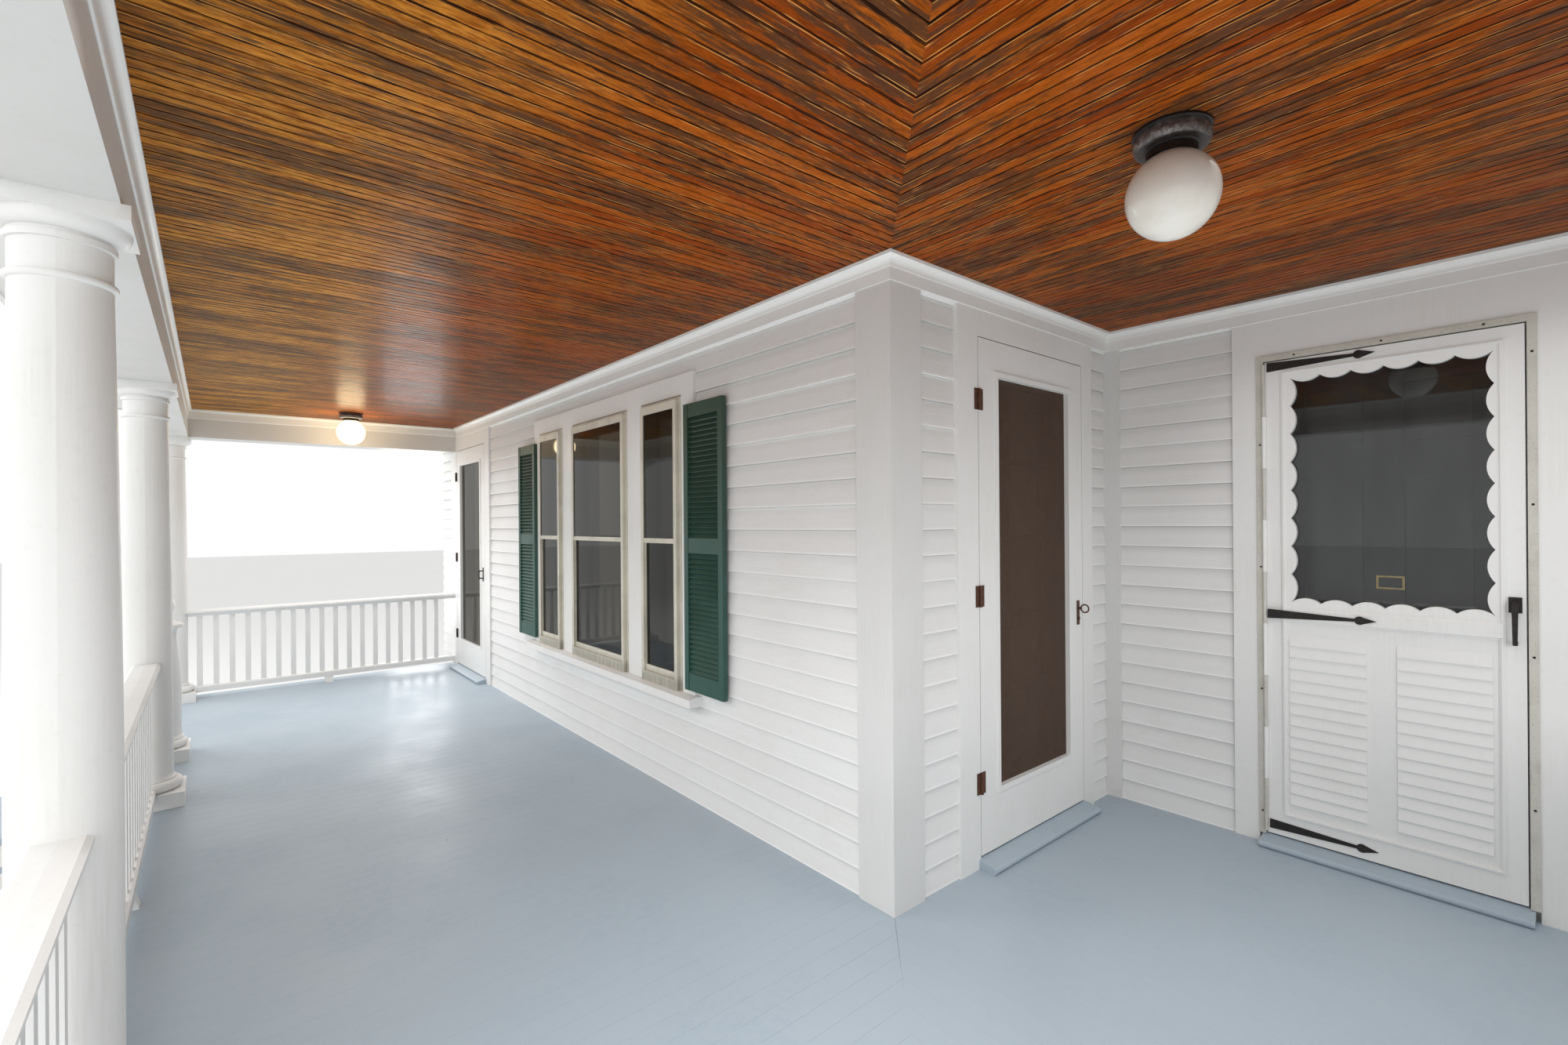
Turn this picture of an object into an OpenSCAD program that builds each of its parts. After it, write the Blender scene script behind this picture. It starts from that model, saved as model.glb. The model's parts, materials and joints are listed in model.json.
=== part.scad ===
// Wrap-around front porch of a white clapboard house, with the house walls that it covers.
// Frame: +X runs right along the front, +Y runs into the house, +Z is up, millimetres.
// The origin is the outer corner of the house wall, at ground level.
// The front leg lies along wall A (facing -Y), the side leg along wall B (facing +X),
// and wall C (facing -Y) closes the back of the side leg.

/* [Porch] */
// Height of the porch floor above the ground
floor_h = 660; // [500:10:900]
// Height of the ceiling above the porch floor
ceiling_h = 2400; // [2300:10:2700]
// Distance from the house walls to the column lines
leg_w = 2170; // [1900:10:2500]
// Distance from the house corner to the column line at the far end
front_len = 5842; // [5600:10:6600]
// Distance from wall A to wall C
wall_b_len = 1693; // [1640:1:1900]
// Column spacing beside the outer corner
corner_bay = 2792; // [2600:10:3000]
// Column spacing in the middle of the front
middle_bay = 2525; // [2400:10:2700]

/* [Floor] */
// Thickness of the floor boards
deck_t = 28; // [22:1:40]
// Distance from the column lines to the tip of the floor's rounded edge
deck_out = 165; // [155:5:200]
// Depth of the floor beams and joists
joist_h = 180; // [140:5:200]
// Width of the girders under the columns
girder_w = 120; // [100:5:160]
// Thickness of a joist, the ledger and the outer rim board
joist_t = 40; // [30:1:50]
// Largest spacing of the joists
joist_pitch = 610; // [400:10:700]
// Side of a masonry pier
pier_w = 300; // [280:10:360]

/* [Columns] */
// Diameter of a column's shaft at the bottom
shaft_d = 196; // [180:2:220]
// Diameter of the shaft under the capital
neck_d = 174; // [160:2:180]
// Side of a column's square plinth
plinth_w = 290; // [280:2:320]
// Height of the plinth
plinth_h = 75; // [60:1:90]
// Height of the round base moulding
torus_h = 52; // [40:1:60]
// Side of the square abacus
abacus_w = 250; // [240:2:270]
// Thickness of the abacus
abacus_h = 36; // [30:1:45]
// Height of the capital from the neck ring to the beam
capital_h = 172; // [160:1:200]

/* [Newel] */
// Distance from the second column to the newel
newel_off = 865; // [800:5:950]
// Height of the newel's cap above the floor
newel_h = 835; // [800:5:900]
// Diameter of the newel's shaft at the top
newel_top_d = 176; // [160:2:190]
// Diameter of the ball
ball_d = 160; // [140:2:180]

/* [Beam and roof] */
// Width of the boxed beam over the columns
beam_w = 216; // [200:2:240]
// Depth of the beam below the ceiling
beam_drop = 230; // [200:5:260]
// Height of the roof's underside above the ceiling at the beam's outer face
roof_rise = 150; // [130:5:200]
// Roof slope, rise over run
roof_pitch = 0.25; // [0.2:0.01:0.32]
// Thickness of the roof with its shingles
roof_t = 60; // [50:1:80]
// Overhang of the eaves beyond the beam
eave_out = 330; // [280:5:400]
// Thickness of the ceiling boards
ceiling_t = 15; // [12:1:20]

/* [Wall trim] */
// Thickness of the house walls
wall_t = 150; // [120:5:200]
// Height of the house walls above the ceiling
wall_over = 900; // [860:10:1000]
// Thickness of casings and corner boards
trim_t = 28; // [24:1:32]
// Face width of a corner board
corner_w = 175; // [140:5:200]
// Width of the corner board in the inner corner
inner_corner_w = 90; // [70:5:110]
// Height of a clapboard that shows
clap_h = 100; // [90:1:120]
// Thickness of a clapboard's lower edge
clap_butt = 16; // [12:1:20]
// Thickness of a clapboard's upper edge
clap_tip = 5; // [3:1:8]
// Height of the frieze and crown under the ceiling on the walls
frieze_h = 92; // [80:2:110]
// Projection of the crown beyond the corner boards
crown_out = 35; // [25:1:45]
// Height of the crown on the beams
beam_crown_h = 78; // [60:2:100]
// Projection of the crown on the beams
beam_crown_out = 24; // [16:1:40]
// Height of the wooden rim under the house walls
rim_h = 280; // [240:10:320]
// Projection of the foundation beyond the wall
foundation_out = 40; // [20:5:60]
// Length of wall A beyond the end column line
wall_a_over = 458; // [450:5:500]
// Length of wall C beyond the side column line
wall_c_over = 460; // [450:5:500]

/* [Doors] */
// Gap between a door leaf and its frame
leaf_gap = 5; // [5:0.5:7]
// Radius of a hinge's knuckle
knuckle_r = 6; // [5:0.5:7]
// Thickness of the outer door leaves
leaf_t = 34; // [30:1:40]
// Thickness of the inner door leaves
inner_leaf_t = 42; // [38:1:46]
// Thickness of the door linings
lining_t = 25; // [20:1:30]
// Height of the thresholds
sill_h = 42; // [30:1:50]
// Projection of the thresholds beyond the casings
sill_out = 78; // [50:2:100]
// Distance from the end column line to the hinge edge of door A
door_a_in = 135; // [125:1:150]
// Width of door A
door_a_w = 915; // [860:5:930]
// Distance from the ceiling down to the top of door A
door_a_drop = 232; // [220:2:280]
// Width of the right casing of door A
casing_a_w = 128; // [100:2:140]
// Width of the left casing of door A, which also takes the end railing
casing_a_left_w = 190; // [186:1:200]
// Distance from wall A to the hinge edge of door B
door_b_y = 517; // [505:1:530]
// Width of door B
door_b_w = 871; // [840:1:880]
// Distance from the ceiling down to the top of door B
door_b_drop = 208; // [200:2:250]
// Width of the left casing of door B
casing_b_w = 138; // [110:2:145]
// Width of the right casing of door B
casing_b_right_w = 105; // [80:5:110]
// Distance from wall B to the hinge edge of the storm door
door_c_x = 724; // [700:1:740]
// Width of the storm door
door_c_w = 779; // [760:1:800]
// Distance from the ceiling down to the top of the storm door
door_c_drop = 280; // [260:2:320]
// Width of the casings of the storm door
casing_c_w = 96; // [80:2:110]
// Width of the storm door's metal frame
z_bar_w = 25; // [20:1:30]
// Stile width of doors A and B
stile_w = 138; // [110:2:150]
// Height of the bottom rail of doors A and B
bottom_rail_h = 255; // [200:5:300]
// Height of the top rail of doors A and B
top_rail_h = 150; // [120:5:170]

/* [Windows] */
// Distance from the house corner to the middle of the triple window
window_x = 2413; // [2400:1:2500]
// Width of a side storm window
side_window_w = 383; // [350:1:420]
// Width of the middle storm window
mid_window_w = 751; // [720:1:800]
// Width of the posts between the storm windows
mullion_w = 223; // [190:1:240]
// Height of the window sill's top above the floor
window_sill_z = 553; // [500:1:600]
// Distance from the ceiling down to the storm windows' top
window_drop = 318; // [290:1:340]
// Distance that the storm windows stand out from the casing
storm_t = 22; // [18:1:40]
// Distance that the window sill sticks out from the casing
window_sill_out = 60; // [40:5:80]
// Width of the window casing
window_casing_w = 140; // [110:5:150]
// Height of the window's head casing
window_head_h = 130; // [100:5:150]
// Height of the meeting rails above the middle of the windows
meeting_up = 20; // [-40:1:60]
// Width of a shutter
shutter_w = 345; // [330:5:400]
// Gap between a shutter and the storm window beside it
shutter_gap = 82; // [60:1:100]
// Height of a shutter's foot above the window sill
shutter_up = 27; // [20:1:65]
// Distance from the windows' top down to a shutter's top
shutter_down = 42; // [30:1:80]

/* [Railings] */
// Height of the railings
rail_h = 740; // [700:5:900]
// Width of the handrail
rail_w = 110; // [90:2:110]
// Side of a baluster
baluster_w = 38; // [30:1:45]
// Spacing of the balusters
baluster_pitch = 106; // [90:1:130]
// Height of the bottom rail's underside above the floor
rail_foot = 55; // [50:5:100]

/* [Steps] */
// Gap between the steps and the plinths beside them
steps_gap = 20; // [10:5:60]
// Run of a step
step_run = 280; // [250:5:320]
// Number of risers
risers = 4; // [3:1:5]

/* [Lights] */
// Diameter of a globe
globe_d = 214; // [190:2:230]
// Distance from the ceiling down to a globe's middle
globe_drop = 160; // [150:2:190]
// Diameter of the fitter at the ceiling
fitter_d = 179; // [160:1:200]
// Distance from the end column line to the far light
far_light_in = 607; // [500:1:800]

/* [Hidden] */
$fn = 64;
// Clearance between curved faces of neighbouring pieces
fit = 0.3;
// Overlap that fuses two shapes of one piece
fuse = 2;
ceil_z = floor_h + ceiling_h;
soffit_z = ceil_z - beam_drop;
frieze_z = ceil_z - frieze_h;
wall_top = ceil_z + wall_over;
rim_z = floor_h - rim_h;
deck_under = floor_h - deck_t;
frame_under = deck_under - joist_h;
half_beam = beam_w / 2;
beam_in_x = leg_w - half_beam;
end_in_x = front_len - half_beam;
wall_a_len = front_len + wall_a_over;
wall_c_len = leg_w + wall_c_over;
first_x = leg_w - corner_bay;
second_x = first_x - middle_bay;
newel_x = second_x - newel_off;
side_y = (wall_b_len - leg_w) / 2;
column_h = soffit_z - floor_h;
// Places of the columns, from the far end round to the side
COLUMN_SPOTS = [
  [-front_len, -leg_w], [second_x, -leg_w], [first_x, -leg_w], [leg_w, -leg_w], [leg_w, side_y]
];
// Reach that takes in everything outside the column lines
reach = 700;
rough_in = lining_t + leaf_gap;
leaf_z = floor_h + sill_h + 8;
window_half = side_window_w + mullion_w + mid_window_w / 2;
window_l = -window_x - window_half;
window_r = -window_x + window_half;
roof_seat = ceil_z + roof_rise;
eave_d = half_beam + eave_out;
outer_rim_d = deck_out - 30;
// Foot of the moulding under the eaves
cornice_foot = roof_seat - roof_pitch * eave_out - 98;
// Heights above the floor that hang from the ceiling's height
door_a_top = ceiling_h - door_a_drop;
door_b_top = ceiling_h - door_b_drop;
door_c_top = ceiling_h - door_c_drop;
window_head_z = ceiling_h - window_drop;
meeting_z = (window_sill_z + window_head_z) / 2 + meeting_up;
shutter_z = window_sill_z + shutter_up;
shutter_h = window_head_z - shutter_down - shutter_z;
steps_w = newel_x + front_len - plinth_w - 2 * steps_gap;
// Edges of the door leaves, along their walls
a_left = door_a_in - front_len;
a_right = a_left + door_a_w;
b_right = door_b_y + door_b_w;
c_right = door_c_x + door_c_w;
head_gap = leaf_gap + lining_t;
// Thicker lining behind the storm door's metal frame
lining_c = lining_t + 15;
rough_c = lining_c + leaf_gap;
stop_at = leaf_t - trim_t + leaf_gap + 1;
door_a_h = floor_h + door_a_top - leaf_z;
door_b_h = floor_h + door_b_top - leaf_z;
door_c_h = floor_h + door_c_top - leaf_z;
inner_b_h = door_b_h - 14;
inner_c_h = door_c_h - 14;
// Hinge axes lie this far outside a leaf's hinge edge and in front of its face
axis_x = leaf_gap / 2;
axis_y = knuckle_r + fit;
pin_r = knuckle_r / 2;
HINGE_HEIGHTS = [0.14, 0.5, 0.88];
// The storm door's face lies this far behind its metal frame's face
frame_proud = 4;
// Knuckles of the storm door's long hinge
LONG_HINGE = 9;
long_pitch = (door_c_h - 20) / LONG_HINGE;
// Glass opening of the storm door, from its lower hinge corner
c_glass_x0 = 92;
c_glass_x1 = door_c_w - 75;
c_glass_z0 = 1021;
c_glass_z1 = door_c_h - 80;
// Left, right and top edges of the raised moulding round the storm door's face
c_mould_x0 = c_glass_x0 - 33;
c_mould_x1 = c_glass_x1 + 24;
c_mould_z1 = c_glass_z1 + 33;
// Middle of the ledge under the storm door's glass, and how far it stands out
ledge_z = c_glass_z0 - 54;
ledge_out = 11;
// Stile, bottom rail, top rail and bar of the inner door behind door B
INNER_B = [110, 240, 120, 24];
// Panes across and up
PANES = [2, 5];
// The three storm windows as [left, right]
LIGHTS = [
  [window_l, window_l + side_window_w],
  [window_l + side_window_w + mullion_w, window_r - side_window_w - mullion_w],
  [window_r - side_window_w, window_r]
];
// The storm windows close openings that are this much smaller on each side and at the top
storm_lap = 12;
// Stile, head and foot of a storm window's frame, and the foot of its lower pane's frame
storm_stile = 28;
storm_head = 42;
storm_foot = 55;
lower_foot = 34;
// Half the height of the storm windows' meeting rails
half_meeting = 13;
// Thickness of the window sill, and its reach past the casing at each end
window_sill_t = 50;
sill_horn = 40;
storm_y = -trim_t - storm_t;
upper_pane_y = storm_y + 6;
lower_pane_y = -trim_t - 3;
sash_y = 50;
// Places of the two ceiling lights
LIGHT_SPOTS = [[986, -67], [far_light_in - front_len, -992]];
// Height of the fitters, from the ceiling to the foot of the rim over the globe, and that rim's radius
fitter_h = globe_drop - globe_d / 2 + 11;
rim_r = 58;

// Height of the roof's underside at a distance d outside the column line
function roof_under(d) = roof_seat - roof_pitch * (d - half_beam);
// Points of an arc in the profile plane
function arc(cx, cz, r, a0, a1, n) =
  [for (i = [0:n]) let (a = a0 + (a1 - a0) * i / n) [cx + r * cos(a), cz + r * sin(a)]];

// Extrudes a (y, z) profile along +X
module along_x(length) {
  rotate([90, 0, 90]) linear_extrude(height = length) children();
}

// Extrudes an (x, z) profile along +Y
module along_y(length) {
  translate([0, length, 0]) rotate([90, 0, 0]) linear_extrude(height = length) children();
}

// A box between two corners
module block(a, b) {
  translate(a) cube([b[0] - a[0], b[1] - a[1], b[2] - a[2]]);
}

// Wall B's own frame: X along the wall from wall A, Y into the house
module on_wall_b() {
  rotate([0, 0, 90]) children();
}

// Wall C's own frame: X along the wall from wall B, Y into the house
module on_wall_c() {
  translate([0, wall_b_len, 0]) children();
}

// Upright prism over the part of the plan that belongs to the front leg
module front_zone(z0, z1) {
  translate([0, 0, z0]) linear_extrude(height = z1 - z0)
    polygon([
      [-front_len - reach, -leg_w - reach], [leg_w + reach, -leg_w - reach], [0, 0], [-front_len + leg_w, 0]
    ]);
}

// The same for the side leg
module side_zone(z0, z1) {
  translate([0, 0, z0]) linear_extrude(height = z1 - z0)
    polygon([[leg_w + reach, -leg_w - reach], [leg_w + reach, wall_b_len], [0, wall_b_len], [0, 0]]);
}

// The same for the far end
module end_zone(z0, z1) {
  translate([0, 0, z0]) linear_extrude(height = z1 - z0)
    polygon([[-front_len - reach, -leg_w - reach], [-front_len + leg_w, 0], [-front_len - reach, 0]]);
}

// A (d, z) profile run along the front column line, mitred at both ends; d points outward
module front_run(z0, z1) {
  intersection() {
    translate([-front_len - reach, -leg_w, 0]) mirror([0, 1, 0])
      along_x(front_len + leg_w + 2 * reach) children();
    front_zone(z0, z1);
  }
}

// The same along the side column line, up to wall C
module side_run(z0, z1) {
  intersection() {
    translate([leg_w, -leg_w - reach, 0]) along_y(wall_b_len + leg_w + reach) children();
    side_zone(z0, z1);
  }
}

// The same along the far end's column line, up to wall A
module end_run(z0, z1) {
  intersection() {
    translate([-front_len, -leg_w - reach, 0]) mirror([1, 0, 0]) along_y(leg_w + reach) children();
    end_zone(z0, z1);
  }
}

// Rows of clapboards on the outside of a wall, in the wall's own frame
module clapboards(x0, x1, z0, z1) {
  rows = ceil((z1 - floor_h) / clap_h);
  edge = [for (i = [-1:rows - 1]) each [
    [-clap_butt, floor_h + i * clap_h],
    [-clap_tip, floor_h + (i + 1) * clap_h]
  ]];
  intersection() {
    translate([x0, 0, 0]) along_x(x1 - x0)
      polygon(concat([[fuse, floor_h - clap_h]], edge, [[fuse, floor_h + rows * clap_h]]));
    block([x0, -clap_butt - 1, z0], [x1, fuse + 1, z1]);
  }
}

// Plan of the porch floor, held in by an edge
module floor_plan(edge) {
  polygon([
    [-front_len - deck_out + edge, 0],
    [-front_len - deck_out + edge, -leg_w - deck_out + edge],
    [leg_w + deck_out - edge, -leg_w - deck_out + edge],
    [leg_w + deck_out - edge, wall_b_len],
    [0, wall_b_len],
    [0, 0]
  ]);
}

// Floor boards as one sheet with a rounded outer edge
module floor_sheet() {
  r = deck_t / 2;
  xe = -front_len - deck_out + r;
  xs = leg_w + deck_out - r;
  yf = -leg_w - deck_out + r;
  translate([0, 0, deck_under]) linear_extrude(height = deck_t) floor_plan(r);
  translate([0, 0, deck_under + r]) {
    translate([xe, yf, 0]) rotate([0, 90, 0]) cylinder(h = xs - xe, r = r);
    translate([xe, 0, 0]) rotate([90, 0, 0]) cylinder(h = -yf, r = r);
    translate([xs, wall_b_len, 0]) rotate([90, 0, 0]) cylinder(h = wall_b_len - yf, r = r);
    translate([xe, yf, 0]) sphere(r = r);
    translate([xs, yf, 0]) sphere(r = r);
  }
}

module floor_front() {
  color("lightslategray") intersection() {
    floor_sheet();
    union() {
      front_zone(deck_under - 1, floor_h + 1);
      end_zone(deck_under - 1, floor_h + 1);
    }
  }
}

module floor_side() {
  color("lightslategray") intersection() {
    floor_sheet();
    side_zone(deck_under - 1, floor_h + 1);
  }
}

// Joists between two x values, spanning in y
module joists_y(x0, x1, y0, y1) {
  n = ceil((x1 - x0) / joist_pitch);
  for (i = [1:n - 1])
    translate([x0 + (x1 - x0) * i / n - joist_t / 2, y0, frame_under]) cube([joist_t, y1 - y0, joist_h]);
}

// Joists between two y values, spanning in x
module joists_x(y0, y1, x0, x1) {
  n = ceil((y1 - y0) / joist_pitch);
  for (i = [1:n - 1])
    translate([x0, y0 + (y1 - y0) * i / n - joist_t / 2, frame_under]) cube([x1 - x0, joist_t, joist_h]);
}

// Beams and joists under the front leg and the corner
module frame_front() {
  x0 = -front_len - outer_rim_d;
  x1 = leg_w + outer_rim_d;
  y0 = -leg_w - outer_rim_d;
  color("burlywood") {
    block([x0, y0, frame_under], [x1, y0 + joist_t, deck_under]);
    block([x0, -joist_t, frame_under], [x1, 0, deck_under]);
    block([x0, y0, frame_under], [x0 + joist_t, 0, deck_under]);
    block([x1 - joist_t, y0, frame_under], [x1, 0, deck_under]);
    block([x0, -leg_w - girder_w / 2, frame_under], [x1, -leg_w + girder_w / 2, deck_under]);
    for (x = [-front_len, leg_w])
      block([x - girder_w / 2, y0, frame_under], [x + girder_w / 2, 0, deck_under]);
    block([0, y0, frame_under], [joist_t, 0, deck_under]);
    joists_y(-front_len, 0, y0, 0);
    joists_x(-leg_w, 0, 0, x1);
  }
}

// The same under the side leg, bolted to the corner's last beam
module frame_side() {
  x1 = leg_w + outer_rim_d;
  color("burlywood") {
    block([0, 0, frame_under], [x1, joist_t, deck_under]);
    block([0, wall_b_len - joist_t, frame_under], [x1, wall_b_len, deck_under]);
    block([0, 0, frame_under], [joist_t, wall_b_len, deck_under]);
    block([x1 - joist_t, 0, frame_under], [x1, wall_b_len, deck_under]);
    block([leg_w - girder_w / 2, 0, frame_under], [leg_w + girder_w / 2, wall_b_len, deck_under]);
    joists_x(0, wall_b_len, 0, x1);
  }
}

module porch_piers() {
  color("gray") for (p = concat(COLUMN_SPOTS, [[newel_x, -leg_w]]))
    translate([p[0] - pier_w / 2, p[1] - pier_w / 2, 0]) cube([pier_w, pier_w, frame_under]);
}

// Slatted skirt panel of a given length, along +X, with its outer face at y = 0
module skirt_panel(length) {
  rail = 60;
  slat = 90;
  n = floor((length - slat) / (slat + 35));
  pitch = (length - slat) / n;
  top = frame_under;
  foot = 20;
  for (z = [foot + 30, top - rail]) translate([0, 20, z]) cube([length, 25, rail]);
  for (i = [0:n]) translate([i * pitch, 0, foot]) cube([slat, 20 + fuse, top - foot]);
}

module porch_skirts() {
  y = -leg_w - outer_rim_d + 2;
  x = leg_w + outer_rim_d - 2;
  half = pier_w / 2 + 1;
  color("white") {
    translate([newel_x + half, y, 0]) skirt_panel(second_x - newel_x - 2 * half);
    translate([second_x + half, y, 0]) skirt_panel(middle_bay - 2 * half);
    translate([first_x + half, y, 0]) skirt_panel(corner_bay - 2 * half);
    translate([x, -leg_w + half, 0]) rotate([0, 0, 90]) skirt_panel(side_y + leg_w - 2 * half);
    translate([x, side_y + half, 0]) rotate([0, 0, 90])
      skirt_panel(wall_b_len - foundation_out - 1 - side_y - half);
    translate([-front_len - outer_rim_d + 2, -foundation_out - 1, 0]) rotate([0, 0, -90])
      skirt_panel(leg_w - half - foundation_out - 1);
  }
}

// Steps down from the floor between the newel and the end column
module front_steps() {
  riser = floor_h / risers;
  tread_t = 38;
  nose = 25;
  board = 20;
  stringer_t = 45;
  x0 = (newel_x - front_len) / 2 - steps_w / 2;
  y0 = -leg_w - outer_rim_d;
  outline = concat(
    [[0, 0], [0, floor_h - tread_t - 2]],
    [for (i = [1:risers - 1]) each [
      [(i - 1) * step_run + board, floor_h - i * riser - tread_t + (i == 1 ? riser - 2 : riser)],
      [(i - 1) * step_run + board, floor_h - i * riser - tread_t]
    ]],
    [[(risers - 1) * step_run + board, riser - tread_t], [(risers - 1) * step_run + board, 0]]
  );
  color("lightslategray") {
    for (x = [x0, x0 + steps_w / 2 - stringer_t / 2, x0 + steps_w - stringer_t])
      translate([x, y0, 0]) mirror([0, 1, 0]) along_x(stringer_t) polygon(outline);
    for (i = [1:risers - 1]) {
      z = floor_h - i * riser;
      block([x0 - 20, y0 - i * step_run - board - nose, z - tread_t],
        [x0 + steps_w + 20, y0 - (i - 1) * step_run - board, z]);
    }
    for (i = [1:risers]) {
      top = floor_h - (i - 1) * riser - (i == 1 ? deck_t : tread_t);
      foot = max(floor_h - i * riser - (i == risers ? 0 : tread_t), 0);
      block([x0, y0 - (i - 1) * step_run - board, foot], [x0 + steps_w, y0 - (i - 1) * step_run, top]);
    }
  }
}

// Half profile of a round post with a torus foot; z counts from the post's own floor
module post_profile(height, foot_d, top_d, collar) {
  foot_r = foot_d / 2;
  top_r = top_d / 2;
  base = plinth_h + torus_h;
  straight = base + (height - base) / 3;
  polygon(concat(
    [[0, plinth_h - fuse], [foot_r + 10, plinth_h - fuse], [foot_r + 10, base + 8]],
    [[foot_r + 4, base + 12], [foot_r, base + 24], [foot_r, straight]],
    [for (i = [1:8]) let (k = i / 8)
      [foot_r - (foot_r - top_r) * (1 - cos(90 * k)), straight + (collar - straight) * k]],
    [[top_r, height], [0, height]]
  ));
}

// Tuscan column on the origin, standing on z = 0
module column() {
  neck_r = neck_d / 2;
  ring_z = column_h - capital_h;
  torus_r = torus_h / 2;
  echinus_r = 34;
  abacus_z = column_h - abacus_h;
  translate([-plinth_w / 2, -plinth_w / 2, 0]) cube([plinth_w, plinth_w, plinth_h]);
  rotate_extrude() {
    post_profile(abacus_z - 40, shaft_d, neck_d, ring_z - 10);
    square([shaft_d / 2 + 12, plinth_h + torus_h - 10]);
    translate([shaft_d / 2 + 12, plinth_h + torus_r - 1]) circle(r = torus_r);
    translate([neck_r, ring_z]) circle(r = 9);
    translate([0, abacus_z - echinus_r - 22]) square([neck_r + 7, 14]);
    polygon(concat(
      [[0, abacus_z + fuse], [0, abacus_z - echinus_r - 10], [neck_r + 2, abacus_z - echinus_r - 10]],
      arc(neck_r + 2, abacus_z, echinus_r - 2, -90, 0, 8),
      [[neck_r + echinus_r, abacus_z + fuse]]
    ));
  }
  translate([-abacus_w / 2, -abacus_w / 2, abacus_z]) cube([abacus_w, abacus_w, abacus_h]);
}

module place_column(i) {
  color("white") translate([COLUMN_SPOTS[i][0], COLUMN_SPOTS[i][1], floor_h]) column();
}

module column_end() {
  place_column(0);
}

module column_second() {
  place_column(1);
}

module column_first() {
  place_column(2);
}

module column_corner() {
  place_column(3);
}

module column_side() {
  place_column(4);
}

// Short round newel with a moulded cap and a ball
module newel_post() {
  top_r = newel_top_d / 2;
  torus_r = torus_h / 2;
  ball_z = newel_h + 32 + ball_d / 2;
  color("white") translate([newel_x, -leg_w, floor_h]) {
    translate([-plinth_w / 2, -plinth_w / 2, 0]) cube([plinth_w, plinth_w, plinth_h]);
    rotate_extrude() {
      post_profile(newel_h - 30, shaft_d + 18, newel_top_d, newel_h - 60);
      square([shaft_d / 2 + 12, plinth_h + torus_h - 10]);
      translate([shaft_d / 2 + 12, plinth_h + torus_r - 1]) circle(r = torus_r);
      polygon(concat(
        [[0, newel_h - 45], [top_r, newel_h - 45]],
        arc(top_r + 22, newel_h - 45, 22, 180, 90, 5),
        [[115, newel_h - 23], [118, newel_h - 18], [118, newel_h - 4], [112, newel_h]],
        [[40, newel_h + 30], [34, newel_h + 48], [0, newel_h + 48]]
      ));
    }
    translate([0, 0, ball_z]) sphere(d = ball_d);
  }
}

// Railing of a given length, centred on the line y = 0, from x = 0, standing on z = 0
module railing(length) {
  cap_t = 28;
  sub_h = 24;
  low_h = 50;
  half = rail_w / 2;
  under = rail_h - cap_t - sub_h;
  n = max(floor((length - shaft_d - 32) / baluster_pitch), 1);
  first = (length - (n - 1) * baluster_pitch) / 2;
  feet = length > 2 * rail_h ? 1 : 0;
  along_x(length) {
    polygon([
      [-half + 8, rail_h - cap_t], [half - 8, rail_h - cap_t], [half, rail_h - cap_t + 6],
      [half, rail_h - 12], [half - 12, rail_h - 2], [0, rail_h], [-half + 12, rail_h - 2],
      [-half, rail_h - 12], [-half, rail_h - cap_t + 6]
    ]);
    translate([-32, under]) square([64, sub_h + fuse]);
    translate([0, rail_foot])
      polygon([[-34, 0], [34, 0], [34, low_h - 8], [26, low_h], [-26, low_h], [-34, low_h - 8]]);
  }
  for (i = [0:n - 1])
    translate([first + i * baluster_pitch - baluster_w / 2, -baluster_w / 2, rail_foot + low_h - fuse])
      cube([baluster_w, baluster_w, under - rail_foot - low_h + 2 * fuse]);
  if (feet == 1)
    translate([length / 2 - 30, 0, 0]) along_x(60)
      polygon([[-44, 0], [44, 0], [30, rail_foot + fuse], [-30, rail_foot + fuse]]);
}

// Foot and shaft of a post that the railings are scribed to, with their clearance
module shaft_clearance(p, d) {
  plinth = plinth_w + 2 * fit;
  translate([p[0], p[1], floor_h - 1]) {
    cylinder(h = rail_h + 20, d = d + 2 * fit);
    cylinder(h = plinth_h + torus_h + 1 + fit, d = shaft_d + 24 + torus_h + 2 * fit);
    translate([-plinth / 2, -plinth / 2, 0]) cube([plinth, plinth, plinth_h + 1 + fit]);
  }
}

module front_railing() {
  color("white") difference() {
    translate([0, -leg_w, floor_h]) {
      translate([newel_x, 0, 0]) railing(second_x - newel_x);
      translate([second_x, 0, 0]) railing(middle_bay);
      translate([first_x, 0, 0]) railing(corner_bay);
    }
    for (i = [1:3]) shaft_clearance(COLUMN_SPOTS[i], shaft_d);
    shaft_clearance([newel_x, -leg_w], shaft_d + 18);
  }
}

module end_railing() {
  color("white") difference() {
    translate([-front_len, -leg_w, floor_h]) rotate([0, 0, 90]) railing(leg_w - trim_t);
    shaft_clearance(COLUMN_SPOTS[0], shaft_d);
  }
}

module side_railing() {
  color("white") difference() {
    union() {
      translate([leg_w, -leg_w, floor_h]) rotate([0, 0, 90]) railing(side_y + leg_w);
      translate([leg_w, side_y, floor_h]) rotate([0, 0, 90]) railing(wall_b_len - clap_butt - side_y);
    }
    shaft_clearance(COLUMN_SPOTS[3], shaft_d);
    shaft_clearance(COLUMN_SPOTS[4], shaft_d);
  }
}

// Everything above the underside of the three roof slopes, out to the eaves
module above_roof() {
  far = front_len + leg_w;
  slope = [[-far, roof_under(-far)], [eave_d, roof_under(eave_d)], [eave_d, roof_under(-far)]];
  translate([-far - reach, -leg_w, 0]) mirror([0, 1, 0]) along_x(2 * (far + reach)) polygon(slope);
  translate([leg_w, -leg_w - reach, 0]) along_y(leg_w + wall_b_len + 2 * reach) polygon(slope);
  translate([-front_len, -leg_w - reach, 0]) mirror([1, 0, 0]) along_y(leg_w + 2 * reach) polygon(slope);
}

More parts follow.
